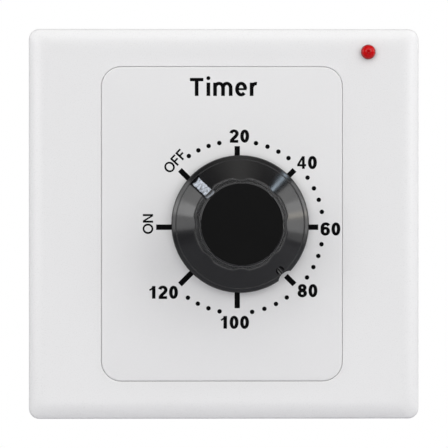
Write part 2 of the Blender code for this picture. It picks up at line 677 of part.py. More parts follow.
def pinion_on_arbor(name, gear, axis, phase):
    """Steel arbor with its pinion leaves and a pivot at each end."""
    arbor = turned(f"{name}_pinion", arbor_profile(), axis, steel, steps=8)
    join(arbor, flat(f"{name}_leaves", [pinion_outline(gear, phase)], gear["pinion"], axis, None))


def arbor_profile():
    front, back = FRONT_PLATE[0] - 0.1, REAR_PLATE[1] + 0.1
    shoulder_front, shoulder_back = FRONT_PLATE[1] - 0.4, REAR_PLATE[0] + 0.4
    return [(0, front), (PIVOT_R, front), (PIVOT_R, shoulder_front), (ARBOR_R, shoulder_front),
            (ARBOR_R, shoulder_back), (PIVOT_R, shoulder_back), (PIVOT_R, back), (0, back)]


def escape_wheel(axis, phase):
    """Saw-toothed wheel: each tooth leans forward to its tip."""
    pitch = 2 * math.pi / ESCAPE["teeth"]
    outline = []
    for tooth in range(ESCAPE["teeth"]):
        angle = phase + tooth * pitch
        for radius, share in ((ESCAPE["root"], 0.0), (ESCAPE["tip"], 0.28), (ESCAPE["tip"], 0.36),
                              (ESCAPE["root"], 0.5)):
            at = angle + share * pitch
            outline.append((radius * math.cos(at), radius * math.sin(at)))
    flat("escape_wheel", [outline, circle(ARBOR_R + 0.25, sides=12)], ESCAPE["level"], axis, brass)
    pinion_on_arbor("escape", ESCAPE, axis, phase)


def pallet(axis, bearing):
    """Pin pallet: two arms that straddle the escape wheel and a tail that gives it inertia."""
    level = PALLET_LEVEL
    turned("pallet_arbor", arbor_profile(), axis, steel, steps=8)
    arms = flat("pallet", [circle(2.0, sides=16), circle(ARBOR_R + 0.25, sides=12)], level, axis, brass)
    for side, word in ((-1, "near"), (1, "far")):
        pin = (-PALLET_REACH + PIN_REACH * math.cos(math.radians(PIN_SPREAD)),
               side * PIN_REACH * math.sin(math.radians(PIN_SPREAD)))
        length = math.hypot(*pin)
        arm = box(f"pallet_arm_{word}", (1.3, length + 0.6), (-0.6, 0.6), level, axis, None)
        arm.data.transform(Matrix.Rotation(math.atan2(pin[1], pin[0]), 4, "Z"))
        peg = rod(f"pallet_pin_{word}", (*pin, level[1] + 0.5), (*pin, ESCAPE["level"][0] + 0.3), PIN_R, axis,
                  None, sides=8)
        join(arms, arm, peg)
    tail = flat("pallet_tail", [[(1.3, -0.6), (4.6, -0.6), (4.6, -4.5), (6.2, -4.5), (6.2, 4.5), (4.6, 4.5),
                                 (4.6, 0.6), (1.3, 0.6)]], level, axis, None)
    join(arms, tail)
    for part in [arms] + [modifier.object for modifier in arms.modifiers]:
        part.data.transform(Matrix.Rotation(math.radians(bearing), 4, "Z"))


def movement_plates(axes):
    """Two brass plates with holes for the pivots, the pillars' tenons and the shaft."""
    holes = [circle(PIVOT_R + 0.25, axis, 10) for name, axis in axes.items() if name != "great"]
    tenons = [circle(1.3, (side_u * PILLAR[0], side_v * PILLAR[1]), 12)
              for side_u in (-1, 1) for side_v in (-1, 1)]
    shaft = circle(SHAFT_R + GAP, SHAFT, 20)
    fixing = [circle(1.5, at, 12) for at in FIXING]
    edge = rounded(MOVE_U, MOVE_V, 1.5, arc=3)
    flat("movement_front_plate", [edge, shaft] + holes + tenons + fixing, FRONT_PLATE, (0, 0), plate_brass)
    flat("movement_rear_plate", [edge, shaft] + holes + tenons, REAR_PLATE, (0, 0), plate_brass)


def pillars():
    """Turned pillars with a tenon at each end that passes through the plates."""
    tenon = 1.0
    front, back = FRONT_PLATE[1] - GAP, REAR_PLATE[0] + GAP
    profile = [(0, FRONT_PLATE[0] - 0.1), (tenon, FRONT_PLATE[0] - 0.1), (tenon, front), (PILLAR_R, front),
               (PILLAR_R, back), (tenon, back), (tenon, REAR_PLATE[1] + 0.1), (0, REAR_PLATE[1] + 0.1)]
    for side_u, word_u in ((-1, "left"), (1, "right")):
        for side_v, word_v in ((-1, "lower"), (1, "upper")):
            at = (side_u * PILLAR[0], side_v * PILLAR[1])
            turned(f"pillar_{word_v}_{word_u}", profile, at, steel, steps=12)


def mainspring():
    """Flat spiral spring round the shaft; its outer end reaches the spring post."""
    steps = int(SPRING_TURNS * 14)
    outer_edge = []
    inner_edge = []
    end_angle = math.atan2(POST[1] - SHAFT[1], POST[0] - SHAFT[0])
    for step in range(steps + 1):
        share = step / steps
        angle = end_angle - (1 - share) * SPRING_TURNS * 2 * math.pi
        radius = SPRING_IN + (SPRING_OUT - SPRING_IN) * share
        inside = radius - SPRING_THICK / 2
        outer_edge.append((radius * math.cos(angle), radius * math.sin(angle)))
        inner_edge.append((inside * math.cos(angle), inside * math.sin(angle)))
    flat("mainspring", [outer_edge + inner_edge[::-1]], SPRING_LEVEL, SHAFT, spring_steel)
    rod("spring_post", (*POST, FRONT_PLATE[1] - GAP), (*POST, SPRING_LEVEL[1] - 0.5), 0.9, (0, 0), steel,
        sides=10)


# ---------------------------------------------------------------- switch, terminals and housing

def switch_parts():
    """Leaf contacts by the cam: the moving leaf hangs from a block, the fixed one stands on a terminal."""
    box("contact_block", BLOCK_U, BLOCK_V, BLOCK_LEVEL, (0, 0), insulator)
    half = LEAF_THICK / 2
    pivot = (LEAF_U, LEAF_TOP)
    box("moving_leaf", (-half, half), (LEAF_FOOT - LEAF_TOP, 0), LEAF_LEVEL, pivot, bronze)
    middle = sum(LEAF_LEVEL) / 2
    back = half + 0.05
    v = CONTACT_V - LEAF_TOP
    rod("moving_contact", (back, v, middle), (back + CONTACT_THICK, v, middle), CONTACT_R, pivot, silver)
    face = LEAF_U + back + CONTACT_THICK + CONTACT_GAP
    rod("fixed_contact", (face, CONTACT_V, middle), (face + CONTACT_THICK, CONTACT_V, middle), CONTACT_R,
        (0, 0), silver)
    near = face + CONTACT_THICK + 0.05
    far = near + LEAF_THICK
    top, end = LEAF_FOOT + 4, TERMINALS[1] + 2
    outline = [(near, top), (near, LEAF_BEND_V), (end, LEAF_BEND_V), (end, LEAF_BEND_V + LEAF_THICK),
               (far, LEAF_BEND_V + LEAF_THICK), (far, top)]
    flat("fixed_leaf", [outline], LEAF_LEVEL, (0, 0), bronze)


def terminals():
    """Three brass clamps in a comb-shaped block; each screw comes up from below."""
    low, high = TERMINAL_V
    back, front = sorted(TERMINAL_LEVEL)
    middle = (back + front) / 2
    side, bottom, top = TERMINAL_BLOCK_HALF, TERMINAL_BLOCK_BOTTOM, high + 0.6
    outline = [(-side, bottom), (side, bottom), (side, top)]
    for u in reversed(TERMINALS):
        reach = TERMINAL_HALF + GAP
        outline += [(u + reach, top), (u + reach, low - GAP), (u - reach, low - GAP), (u - reach, top)]
    outline.append((-side, top))
    block = flat("terminal_block", [outline], (back - 0.4, front + 0.4), (0, 0), insulator)
    for word, u in zip(("line", "load", "neutral"), TERMINALS):
        cut(block, rod(f"block_screw_well_{word}", (u, bottom - 1, middle), (u, low + 1, middle), 1.9,
                       (0, 0), None))
        clamp = box(f"terminal_{word}", (u - TERMINAL_HALF, u + TERMINAL_HALF), TERMINAL_V, TERMINAL_LEVEL,
                    (0, 0), brass)
        cut(clamp,
            rod(f"clamp_wire_way_{word}", (u, TERMINAL_WIRE_V, back - 1), (u, TERMINAL_WIRE_V, back + 5), 1.6,
                (0, 0), None),
            rod(f"clamp_screw_way_{word}", (u, low - 1, middle), (u, high - 2.2, middle), 1.4, (0, 0), None))
        terminal_screw(word, u, bottom, high - 3.4, middle)


def terminal_screw(word, u, bottom, end, w):
    """Cheese-head clamp screw along v, with a straight slot."""
    screw = rod(f"terminal_screw_{word}", (u, bottom + 0.4, w), (u, end, w), 1.1, (0, 0), steel)
    head = rod(f"terminal_screw_head_{word}", (u, bottom + 0.1, w), (u, bottom + 1.5, w), 1.6, (0, 0), None)
    slot = box(f"terminal_screw_slot_{word}", (u - 2, u + 2), (bottom - 0.5, bottom + 0.8),
               (w - 0.3, w + 0.3), (0, 0), None)
    join(screw, head)
    cut(screw, slot)


def rear_housing():
    """Deep moulded cup behind the wall plate, with corner bosses and holes for wires and terminal screws."""
    front = -GAP
    body = flat("rear_housing", [rounded(HOUSE_U, HOUSE_V, 3.0)], (HOUSE_BACK, front), (0, 0), base_plastic)
    inner_u, inner_v = HOUSE_U - 2 * HOUSE_WALL, HOUSE_V - 2 * HOUSE_WALL
    cut(body, flat("housing_hollow", [rounded(inner_u, inner_v, 1.5, arc=3)],
                   (HOUSE_BACK + HOUSE_WALL, front + 1), (0, 0), None))
    for side_u in (-1, 1):
        for side_v in (-1, 1):
            name = f"housing_boss_{side_u}_{side_v}"
            u = sorted((side_u * (BOSS[0] - BOSS_R), side_u * (HOUSE_U / 2 - 0.9)))
            v = sorted((side_v * (BOSS[1] - BOSS_R), side_v * (HOUSE_V / 2 - 0.9)))
            join(body, box(name, u, v, (-14, front - 0.1), (0, 0), None))
            at = (side_u * BOSS[0], side_v * BOSS[1])
            cut(body, rod(name + "_pilot", (*at, -10), (*at, 1), 1.4, (0, 0), None))
    middle = sum(TERMINAL_LEVEL) / 2
    outside = -HOUSE_V / 2
    for number, u in enumerate(TERMINALS):
        cut(body,
            rod(f"housing_wire_hole_{number}", (u, TERMINAL_WIRE_V, HOUSE_BACK - 1),
                (u, TERMINAL_WIRE_V, HOUSE_BACK + 3), 1.8, (0, 0), None),
            rod(f"housing_screw_hole_{number}", (u, outside - 1, middle), (u, outside + 3, middle), 1.9,
                (0, 0), None))


def indicator():
    """Lamp in the cover's corner on its little board, fed by two wires from the terminals."""
    dome = [(LAMP_R * math.sin(math.radians(a)), LAMP_FRONT - LAMP_R * (1 - math.cos(math.radians(a))))
            for a in range(0, 91, 30)]
    turned("lamp_lens", dome + [(LAMP_R, 5.5), (2.0, 5.5), (2.0, 4.7), (0, 4.7)], LAMP, lamp_red, steps=14)
    box("lamp_board", (27.6, 35.6), (31.4, 38.3), (3.5, 4.4), (0, 0), board_green)
    rod("lamp_resistor", (29.3, 32.2, 5.2), (29.3, 36.6, 5.2), 0.6, (0, 0), resistor_tan)
    wire("lamp_wire_live", LIVE_ROUTE, LAMP_WIRE_R, (0, 0), wire_red)
    wire("lamp_wire_neutral", NEUTRAL_ROUTE, LAMP_WIRE_R, (0, 0), wire_blue)
    wire("line_jumper", JUMPER_ROUTE, JUMPER_R, (0, 0), wire_black)


# ---------------------------------------------------------------- assembly

def build():
    trim_frame()
    mounting_plate()
    dial_panel()
    mounting_screws()
    knob()
    knob_fittings()
    main_arbor()
    cam_and_stop()
    clutch_spring()
    axes, phases = train()
    flat("great_wheel", [wheel_outline(GREAT, phases["great"]), circle(SHAFT_R + GAP, sides=20)],
         GREAT["level"], SHAFT, brass)
    for name, gear in (("second", SECOND), ("third", THIRD), ("fourth", FOURTH)):
        gear_set(name, gear, axes[name], phases[name])
    escape_wheel(axes["escape"], phases["escape"])
    pallet(axes["pallet"], BEARING["pallet"])
    movement_plates(axes)
    pillars()
    mainspring()
    switch_parts()
    terminals()
    rear_housing()
    indicator()


clear_scene()
pieces = collection(COLLECTION)
tools = collection(COLLECTION + "_cutters")

white_plastic = finish("cover_plastic", (0.76, 0.75, 0.73), 0.35)
panel_plastic = finish("panel_plastic", (0.78, 0.77, 0.76), 0.4)
base_plastic = finish("base_plastic", (0.72, 0.71, 0.69), 0.5)
black_plastic = finish("knob_black", (0.012, 0.012, 0.013), 0.25)
inlay_white = finish("pointer_white", (0.85, 0.86, 0.88), 0.4)
lamp_red = finish("lamp_red", (0.55, 0.005, 0.01), 0.15)
steel = finish("plated_steel", (0.6, 0.6, 0.6), 0.3, 1.0)
spring_steel = finish("blued_spring", (0.2, 0.22, 0.28), 0.3, 1.0)
brass = finish("gear_brass", (0.7, 0.5, 0.2), 0.3, 1.0)
plate_brass = finish("plate_brass", (0.65, 0.48, 0.22), 0.4, 1.0)
bronze = finish("contact_bronze", (0.6, 0.35, 0.18), 0.35, 1.0)
silver = finish("contact_silver", (0.85, 0.85, 0.84), 0.25, 1.0)
cam_nylon = finish("cam_nylon", (0.8, 0.78, 0.7), 0.5)
insulator = finish("block_phenolic", (0.05, 0.04, 0.035), 0.5)
board_green = finish("board_green", (0.03, 0.18, 0.06), 0.5)
resistor_tan = finish("resistor_tan", (0.5, 0.35, 0.2), 0.5)
wire_red = finish("wire_red", (0.5, 0.02, 0.02), 0.45)
wire_blue = finish("wire_blue", (0.02, 0.08, 0.4), 0.45)
wire_black = finish("wire_black", (0.02, 0.02, 0.02), 0.45)

build()
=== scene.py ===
"""Looks of the clockwork wall timer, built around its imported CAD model.

Pieces are drawn in the front view, in millimetres: u to the right, v up and w out of the wall towards the
user. In the frame u is +X, v is +Z and w is -Y. Places and sizes are read from the CAD nodes' boxes.
"""
import json
import math

import bmesh
import bpy
from mathutils import Matrix, Vector, noise


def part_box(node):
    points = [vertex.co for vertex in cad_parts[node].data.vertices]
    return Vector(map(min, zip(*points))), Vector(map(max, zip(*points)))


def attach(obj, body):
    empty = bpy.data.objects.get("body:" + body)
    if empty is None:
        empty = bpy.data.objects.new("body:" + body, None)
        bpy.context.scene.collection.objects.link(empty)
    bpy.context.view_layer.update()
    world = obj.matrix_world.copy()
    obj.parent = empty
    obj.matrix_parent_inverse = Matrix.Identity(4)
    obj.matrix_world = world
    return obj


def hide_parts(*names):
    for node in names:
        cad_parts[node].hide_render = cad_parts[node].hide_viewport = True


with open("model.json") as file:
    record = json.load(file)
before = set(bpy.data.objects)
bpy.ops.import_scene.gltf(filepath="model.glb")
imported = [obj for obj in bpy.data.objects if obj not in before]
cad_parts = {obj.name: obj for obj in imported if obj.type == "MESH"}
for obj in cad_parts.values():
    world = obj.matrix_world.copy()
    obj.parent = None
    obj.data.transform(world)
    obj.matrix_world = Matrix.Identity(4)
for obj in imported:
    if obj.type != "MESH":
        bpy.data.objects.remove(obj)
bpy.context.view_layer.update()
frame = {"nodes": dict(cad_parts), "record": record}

MM = 0.001


class Span:
    """A CAD node's box in front-view millimetres."""

    def __init__(self, node):
        low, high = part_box(node)
        self.left, self.right = low.x / MM, high.x / MM
        self.bottom, self.top = low.z / MM, high.z / MM
        self.back, self.front = -high.y / MM, -low.y / MM
        self.u = (self.left + self.right) / 2
        self.v = (self.bottom + self.top) / 2


COVER = Span("trim_frame")
PANEL = Span("dial_panel")
KNOB = Span("knob")
LAMP = Span("lamp_lens")

# Cover and panel
SKIN = 2.0                      # wall thickness of the cover
COVER_CORNER = 2.3
CORNER_STEPS = 10               # points on a corner's arc
EDGE_ROUND = 0.6                # radius where the face turns into the side
ROLL_OFF = 4.6                  # width of the face's gentle fall towards its edge
ROLL_DROP = 0.95                # depth of that fall
ROLL_POWER = 2.5                # how late the fall steepens
DRAFT = 0.15                    # the sides taper by this much from the wall to the face
WINDOW_EDGE = 0.18              # radius of the window's front edge
LEVER_NOTCH = (-4, 4)           # a notch in the lower side, to lever the cover off
PANEL_AT = -0.45                # the panel's middle, just left of the cover's
PANEL_U = 52.9
PANEL_V = 69.0
PANEL_CORNER = 4.3
WINDOW_GAP = 0.07               # the hairline round the panel
PANEL_EDGE = 0.3                # radius of the panel's front edge
PANEL_STEP = 5.7                # front of the flanges that hold the panel behind the cover
FLANGE_HALF = 21
SHAFT_HOLE = 4.4
CLIP_AT = 20.0                  # the snap clips' distance from the centre line
CLIP_WIDE = 6.0
CLIP_V = (37.0, 38.3)
LAMP_R = 1.62
LAMP_HOLE = 1.64

# Knob
FLUTES = 8
FLUTE_CUTTER = 3.0              # radius of the flutes' hollow
FLUTE_TOP = 0.16                # depth of the flutes at the top of the grip and at its foot
FLUTE_FOOT = 0.5
GRIP_BASE_R = 10.0
GRIP_TOP_R = 9.2
TOP_EDGE = 0.4                  # radius of the edge round the grip's top
SLOPE = ((10.7, 14.6), (14.8, 10.5))    # the skirt's straight slope in (radius, w)
LIP_R = 14.15                   # a fine step near the skirt's rim
LIP_STEP = 0.022
POINTER_ANGLE = -46.0
POINTER_RUN = (-1.2, 4.8)       # start and end of the pointer's groove along the slope
GROOVE_HALF = 1.4               # half the groove's width, and half the paint's
GROOVE_DEPTH = 0.32
PAINT_HALF = 1.0
NOTCH_ANGLE = 139.4
NOTCH_R = 2.5
NOTCH_OUT = 1.7                 # the notch's centre lies this far outside the rim
SET_SCREW_LEVEL = 11.9
SET_SCREW_HOLE = 0.93
SET_SCREW_RUN = (4.4, 18)       # its hole, from inside the bush to outside the skirt

# Dial print
DIAL = (2.9, -0.7)              # centre of the printed scale
TICK = (14.0, 17.8)             # inner and outer end of a mark
NOTCH_TICK = 15.1               # the mark under the knob's notch starts further out
TICK_WIDE = 1.18
DOT_RING = 18.9
DOT_R = 0.5
DOTS = (                        # mark, middle of the four dots after it, angle between two of them
    (0, 24.6, 8.0), (45, 22.3, 8.3), (90, 23.6, 8.1), (135, 22.4, 8.4), (180, 23.4, 7.7), (315, 21.9, 7.4),
)
NUMBERS = {"20": (3.35, 19.3), "40": (18.2, 13.5), "60": (23.4, -1.1), "80": (18.35, -14.65),
           "100": (2.35, -21.6), "120": (-13.3, -15.0)}
TITLE_AT = (0.02, 30.07)
OFF_AT = (-10.8, 13.75)
ON_AT = (-16.7, 0.0)
TITLE_HEIGHT = 3.9              # heights of the capitals
NUMBER_HEIGHT = 2.78
WORD_HEIGHT = 2.25
WIDE_GAP = 0.17                 # space between two letters, as a share of the height
NARROW_GAP = 0.13
INK = 0.012                     # thickness of the print

# Studio, in metres and degrees
VIEW_DISTANCE = 0.9
VIEW_AZIMUTH = -1.2
VIEW_HEIGHT = 0.35
VIEW_WIDTH = 98.4 * MM          # what the picture spans at the cover's face
FLOOR = -0.30
FLOOR_HALF = 1.6
ROOM = (                        # colour of the room by the sine of the height above level
    (-1.0, (0.40, 0.41, 0.46)), (0.0, (0.32, 0.32, 0.33)), (0.55, (0.20, 0.20, 0.20)),
    (0.80, (0.15, 0.15, 0.15)), (0.90, (0.22, 0.215, 0.21)), (0.97, (0.42, 0.41, 0.40)),
    (1.0, (0.62, 0.61, 0.59)),
)
FRONT_DARK = (12, 35)           # dark within the first angle of the front, full beyond the second
FRONT_SHARE = 0.12              # what is left of the room's light there
WARM = (1.0, 0.95, 0.86)
COOL = (0.72, 0.86, 1.0)
SOFTBOXES = (                   # name, azimuth, height, distance, size, radiance, colour
    ("right_upper", 88, 30, 0.8, (0.16, 0.230), 2.5),
    ("right_middle", 88, 16.5, 0.8, (0.16, 0.156), 4.1),
    ("right_band", 88, 8.5, 0.8, (0.16, 0.070), 6.4, WARM),
    ("right_lower", 88, -1.5, 0.8, (0.16, 0.200), 2.8),
    ("right_foot", 88, -13, 0.8, (0.16, 0.110), 1.0),
    ("left_upper", -88, 31, 0.8, (0.16, 0.260), 2.5),
    ("left_middle", -88, 15, 0.8, (0.16, 0.195), 4.2),
    ("left_lower", -88, 0.5, 0.8, (0.16, 0.190), 1.8),
    ("glint", 88, 46, 0.8, (0.16, 0.050), 8.5, COOL),
    ("key_top", 10, 48, 1.1, (1.4, 0.6), 1.9),
    ("key_right", 45, 18, 1.3, (0.6, 0.9), 2.95),
    ("key_left", -36, 15, 1.3, (0.6, 0.9), 2.7),
    ("fill_low", -4, -10, 1.2, (0.7, 0.20), 2.9),
)


# ---------------------------------------------------------------- helpers

def front(u, v, w):
    """The place in the frame, in metres, of a point in the front view."""
    return Vector((u * MM, -w * MM, v * MM))


def polar(radius, clockwise):
    """(u, v) at a radius and an angle clockwise from the top."""
    angle = math.radians(clockwise)
    return radius * math.sin(angle), radius * math.cos(angle)


def mesh_piece(name, shape, body, slot_name, *replaced):
    """Turn a bmesh drawn in front-view millimetres into a piece of the scene."""
    bmesh.ops.transform(shape, matrix=Matrix(((MM, 0, 0, 0), (0, 0, -MM, 0), (0, MM, 0, 0), (0, 0, 0, 1))),
                        verts=shape.verts)
    bmesh.ops.recalc_face_normals(shape, faces=shape.faces)
    mesh = bpy.data.meshes.new(name)
    shape.to_mesh(mesh)
    shape.free()
    obj = bpy.data.objects.new(name, mesh)
    bpy.context.scene.collection.objects.link(obj)
    if body:
        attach(obj, body)
    if replaced:
        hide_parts(*replaced)
    return obj


def dress(obj, material, degrees):
    """Give an object one material, and shade it smooth except where it turns by more than an angle."""
    obj.data.materials.clear()
    obj.data.materials.append(material)
    obj.data.shade_smooth()
    obj.data.set_sharp_from_angle(angle=math.radians(degrees))


def rounded_ring(half_u, half_v, radius, straight):
    """Rounded rectangle, anticlockwise from the right, with each straight side in a number of steps."""
    points = []
    signs = ((1, 1), (-1, 1), (-1, -1), (1, -1))

    def corner(quarter, angle):
        side_u, side_v = signs[quarter % 4]
        return Vector((side_u * (half_u - radius) + radius * math.cos(angle),
                       side_v * (half_v - radius) + radius * math.sin(angle)))

    for quarter in range(4):
        points += [corner(quarter, math.pi / 2 * (quarter + step / CORNER_STEPS))
                   for step in range(CORNER_STEPS + 1)]
        start = points[-1]
        goal = corner(quarter + 1, math.pi / 2 * (quarter + 1))
        points += [start.lerp(goal, step / straight) for step in range(1, straight)]
    return points


def loft(rings, closed=False):
    """Skin through rings of equally many (u, v, w) points, capped unless the last ring meets the first."""
    shape = bmesh.new()
    rows = [[shape.verts.new(point) for point in ring] for ring in rings]
    pairs = list(zip(rows, rows[1:]))
    if closed:
        pairs.append((rows[-1], rows[0]))
    count = len(rows[0])
    for lower, upper in pairs:
        for i in range(count):
            j = (i + 1) % count
            shape.faces.new((lower[i], lower[j], upper[j], upper[i]))
    if not closed:
        shape.faces.new(rows[0])
        shape.faces.new(rows[-1])
    return shape


def prism(shape, lower, upper):
    """Add a prism between two outlines with equally many corners."""
    near = [shape.verts.new(point) for point in lower]
    far = [shape.verts.new(point) for point in upper]
    shape.faces.new(near[::-1])
    shape.faces.new(far)
    for i in range(len(near)):
        j = (i + 1) % len(near)
        shape.faces.new((near[i], near[j], far[j], far[i]))


def box_shape(u, v, w):
    """Box between pairs of bounds."""
    shape = bmesh.new()
    centre = Vector((sum(u) / 2, sum(v) / 2, sum(w) / 2))
    size = (abs(u[1] - u[0]), abs(v[1] - v[0]), abs(w[1] - w[0]), 1)
    bmesh.ops.create_cube(shape, size=1, matrix=Matrix.Translation(centre) @ Matrix.Diagonal(size))
    return shape


def rod_shape(start, end, radius, sides=48):
    """Round bar from one (u, v, w) place to another."""
    shape = bmesh.new()
    start, end = Vector(start), Vector(end)
    along = end - start
    matrix = Matrix.Translation(start + along / 2) @ along.to_track_quat("Z", "Y").to_matrix().to_4x4()
    bmesh.ops.create_cone(shape, cap_ends=True, segments=sides, radius1=radius, radius2=radius,
                          depth=along.length, matrix=matrix)
    return shape


def combine(obj, tool, operation):
    """Apply a Boolean of two objects to the first one, and remove the second."""
    modifier = obj.modifiers.new("combine", "BOOLEAN")
    modifier.operation = operation
    modifier.object = tool
    graph = bpy.context.evaluated_depsgraph_get()
    result = bpy.data.meshes.new_from_object(obj.evaluated_get(graph))
    obj.modifiers.clear()
    obj.data = result
    bpy.data.objects.remove(tool)


def carve(obj, *shapes, operation="DIFFERENCE"):
    """Cut shapes drawn in front-view millimetres out of a piece, or join them to it."""
    for number, shape in enumerate(shapes):
        combine(obj, mesh_piece(f"{obj.name}_tool_{number}", shape, None, None), operation)


def fill_ramp(ramp, stops):
    """Set a colour ramp's stops, given as (position, colour) from low to high."""
    while len(ramp.elements) < len(stops):
        ramp.elements.new(0.5)
    for element, (position, colour) in zip(ramp.elements, stops):
        element.position = position
        element.color = (*colour, 1)


# ---------------------------------------------------------------- materials

class Nodes:
    """Small builder for a Principled material with procedural inputs."""

    def __init__(self, name, colour, roughness, metallic=0.0, **sockets):
        self.material = bpy.data.materials.new(name)
        self.material.use_nodes = True
        self.tree = self.material.node_tree
        self.shader = self.tree.nodes["Principled BSDF"]
        self.colour = colour
        self.roughness = roughness
        self.set("Base Color", (*colour, 1))
        self.set("Roughness", roughness)
        self.set("Metallic", metallic)
        for socket, value in sockets.items():
            self.set(socket.replace("_", " "), value)

    def set(self, socket, value):
        self.shader.inputs[socket].default_value = value

    def add(self, kind, **settings):
        node = self.tree.nodes.new(kind)
        for key, value in settings.items():
            setattr(node, key, value)
        return node

    def link(self, source, target):
        self.tree.links.new(source, target)

    def position(self, scale=(1, 1, 1)):
        """Object coordinates in metres times a scale."""
        coordinates = self.add("ShaderNodeTexCoord")
        mapping = self.add("ShaderNodeMapping")
        mapping.inputs["Scale"].default_value = scale
        self.link(coordinates.outputs["Object"], mapping.inputs["Vector"])
        return mapping.outputs["Vector"]

    def noise(self, per_metre, detail=3, scale=(1, 1, 1), rough=0.5):
        """Noise with so many cells in a metre, which a scale stretches along the axes."""
        node = self.add("ShaderNodeTexNoise")
        node.inputs["Scale"].default_value = per_metre
        node.inputs["Detail"].default_value = detail
        node.inputs["Roughness"].default_value = rough
        self.link(self.position(scale), node.inputs["Vector"])
        return node.outputs["Fac"]

    def spread(self, value, low, high, from_low=0.3, from_high=0.7):
        """Map a value from one range to another; the middle of a noise is its usual range."""
        node = self.add("ShaderNodeMapRange")
        node.inputs["From Min"].default_value = from_low
        node.inputs["From Max"].default_value = from_high
        node.inputs["To Min"].default_value = low
        node.inputs["To Max"].default_value = high
        self.link(value, node.inputs["Value"])
        return node.outputs["Result"]

    def tint(self, value, darker, lighter):
        """Vary the base colour between two shares of it."""
        node = self.add("ShaderNodeMix", data_type="RGBA")
        factor, first, second = node.inputs[0], node.inputs[6], node.inputs[7]
        first.default_value = (*[c * darker for c in self.colour], 1)
        second.default_value = (*[min(1, c * lighter) for c in self.colour], 1)
        self.link(value, factor)
        self.link(node.outputs[2], self.shader.inputs["Base Color"])

    def vary_roughness(self, value, amount):
        self.link(self.spread(value, self.roughness - amount, self.roughness + amount),
                  self.shader.inputs["Roughness"])

    def from_axis(self, u, v):
        """Distance from an axis along w through (u, v), in millimetres."""
        coordinates = self.add("ShaderNodeTexCoord")
        offset = self.add("ShaderNodeVectorMath", operation="SUBTRACT")
        offset.inputs[1].default_value = (u * MM, 0, v * MM)
        self.link(coordinates.outputs["Object"], offset.inputs[0])
        flattened = self.add("ShaderNodeVectorMath", operation="MULTIPLY")
        flattened.inputs[1].default_value = (1 / MM, 0, 1 / MM)
        self.link(offset.outputs["Vector"], flattened.inputs[0])
        length = self.add("ShaderNodeVectorMath", operation="LENGTH")
        self.link(flattened.outputs["Vector"], length.inputs[0])
        return length.outputs["Value"]

    def steps(self, value, *stops):
        """Grey curve through (value, result) stops between 0 and 1."""
        node = self.add("ShaderNodeValToRGB")
        fill_ramp(node.color_ramp, [(at, (result, result, result)) for at, result in stops])
        self.link(value, node.inputs["Fac"])
        return node.outputs["Color"]

    def bump(self, value, height_mm, strength=1.0):
        node = self.add("ShaderNodeBump")
        node.inputs["Strength"].default_value = strength
        node.inputs["Distance"].default_value = height_mm * MM
        self.link(value, node.inputs["Height"])
        self.link(node.outputs["Normal"], self.shader.inputs["Normal"])


def moulded(name, colour, roughness, grain_mm=0.004, grain_per_metre=9000, variation=0.012, gloss=0.035,
            flow_per_metre=28, gloss_per_metre=160, **sockets):
    """Moulded plastic: faint fine grain, slight flow tint and uneven gloss."""
    nodes = Nodes(name, colour, roughness, **sockets)
    nodes.bump(nodes.noise(grain_per_metre, detail=2), grain_mm, 0.6)
    nodes.tint(nodes.spread(nodes.noise(flow_per_metre, detail=2), 0, 1), 1 - variation, 1 + variation)
    nodes.vary_roughness(nodes.noise(gloss_per_metre, detail=3), gloss)
    return nodes.material


def face_plastic(name, colour, roughness, grain_mm):
    """Even white plastic of the front, with only the finest grain."""
    return moulded(name, colour, roughness, grain_mm, variation=0.01, gloss=0.012, flow_per_metre=5000,
                   gloss_per_metre=4000)


def small_part(name, colour, roughness=0.38, grain_mm=0.006, variation=0.06, grain_per_metre=3000):
    """Coloured plastic or lacquer of the small parts inside."""
    return moulded(name, colour, roughness, grain_mm, grain_per_metre, variation)


def plated(name, colour, roughness, scratch=(6000, 300, 6000)):
    """Plated or drawn metal with fine lines along one way."""
    nodes = Nodes(name, colour, roughness, metallic=1.0)
    nodes.bump(nodes.noise(1, detail=4, scale=scratch), 0.003, 0.5)
    nodes.tint(nodes.spread(nodes.noise(350, detail=3), 0, 1), 0.88, 1.06)
    nodes.vary_roughness(nodes.noise(900, detail=3), 0.08)
    return nodes.material


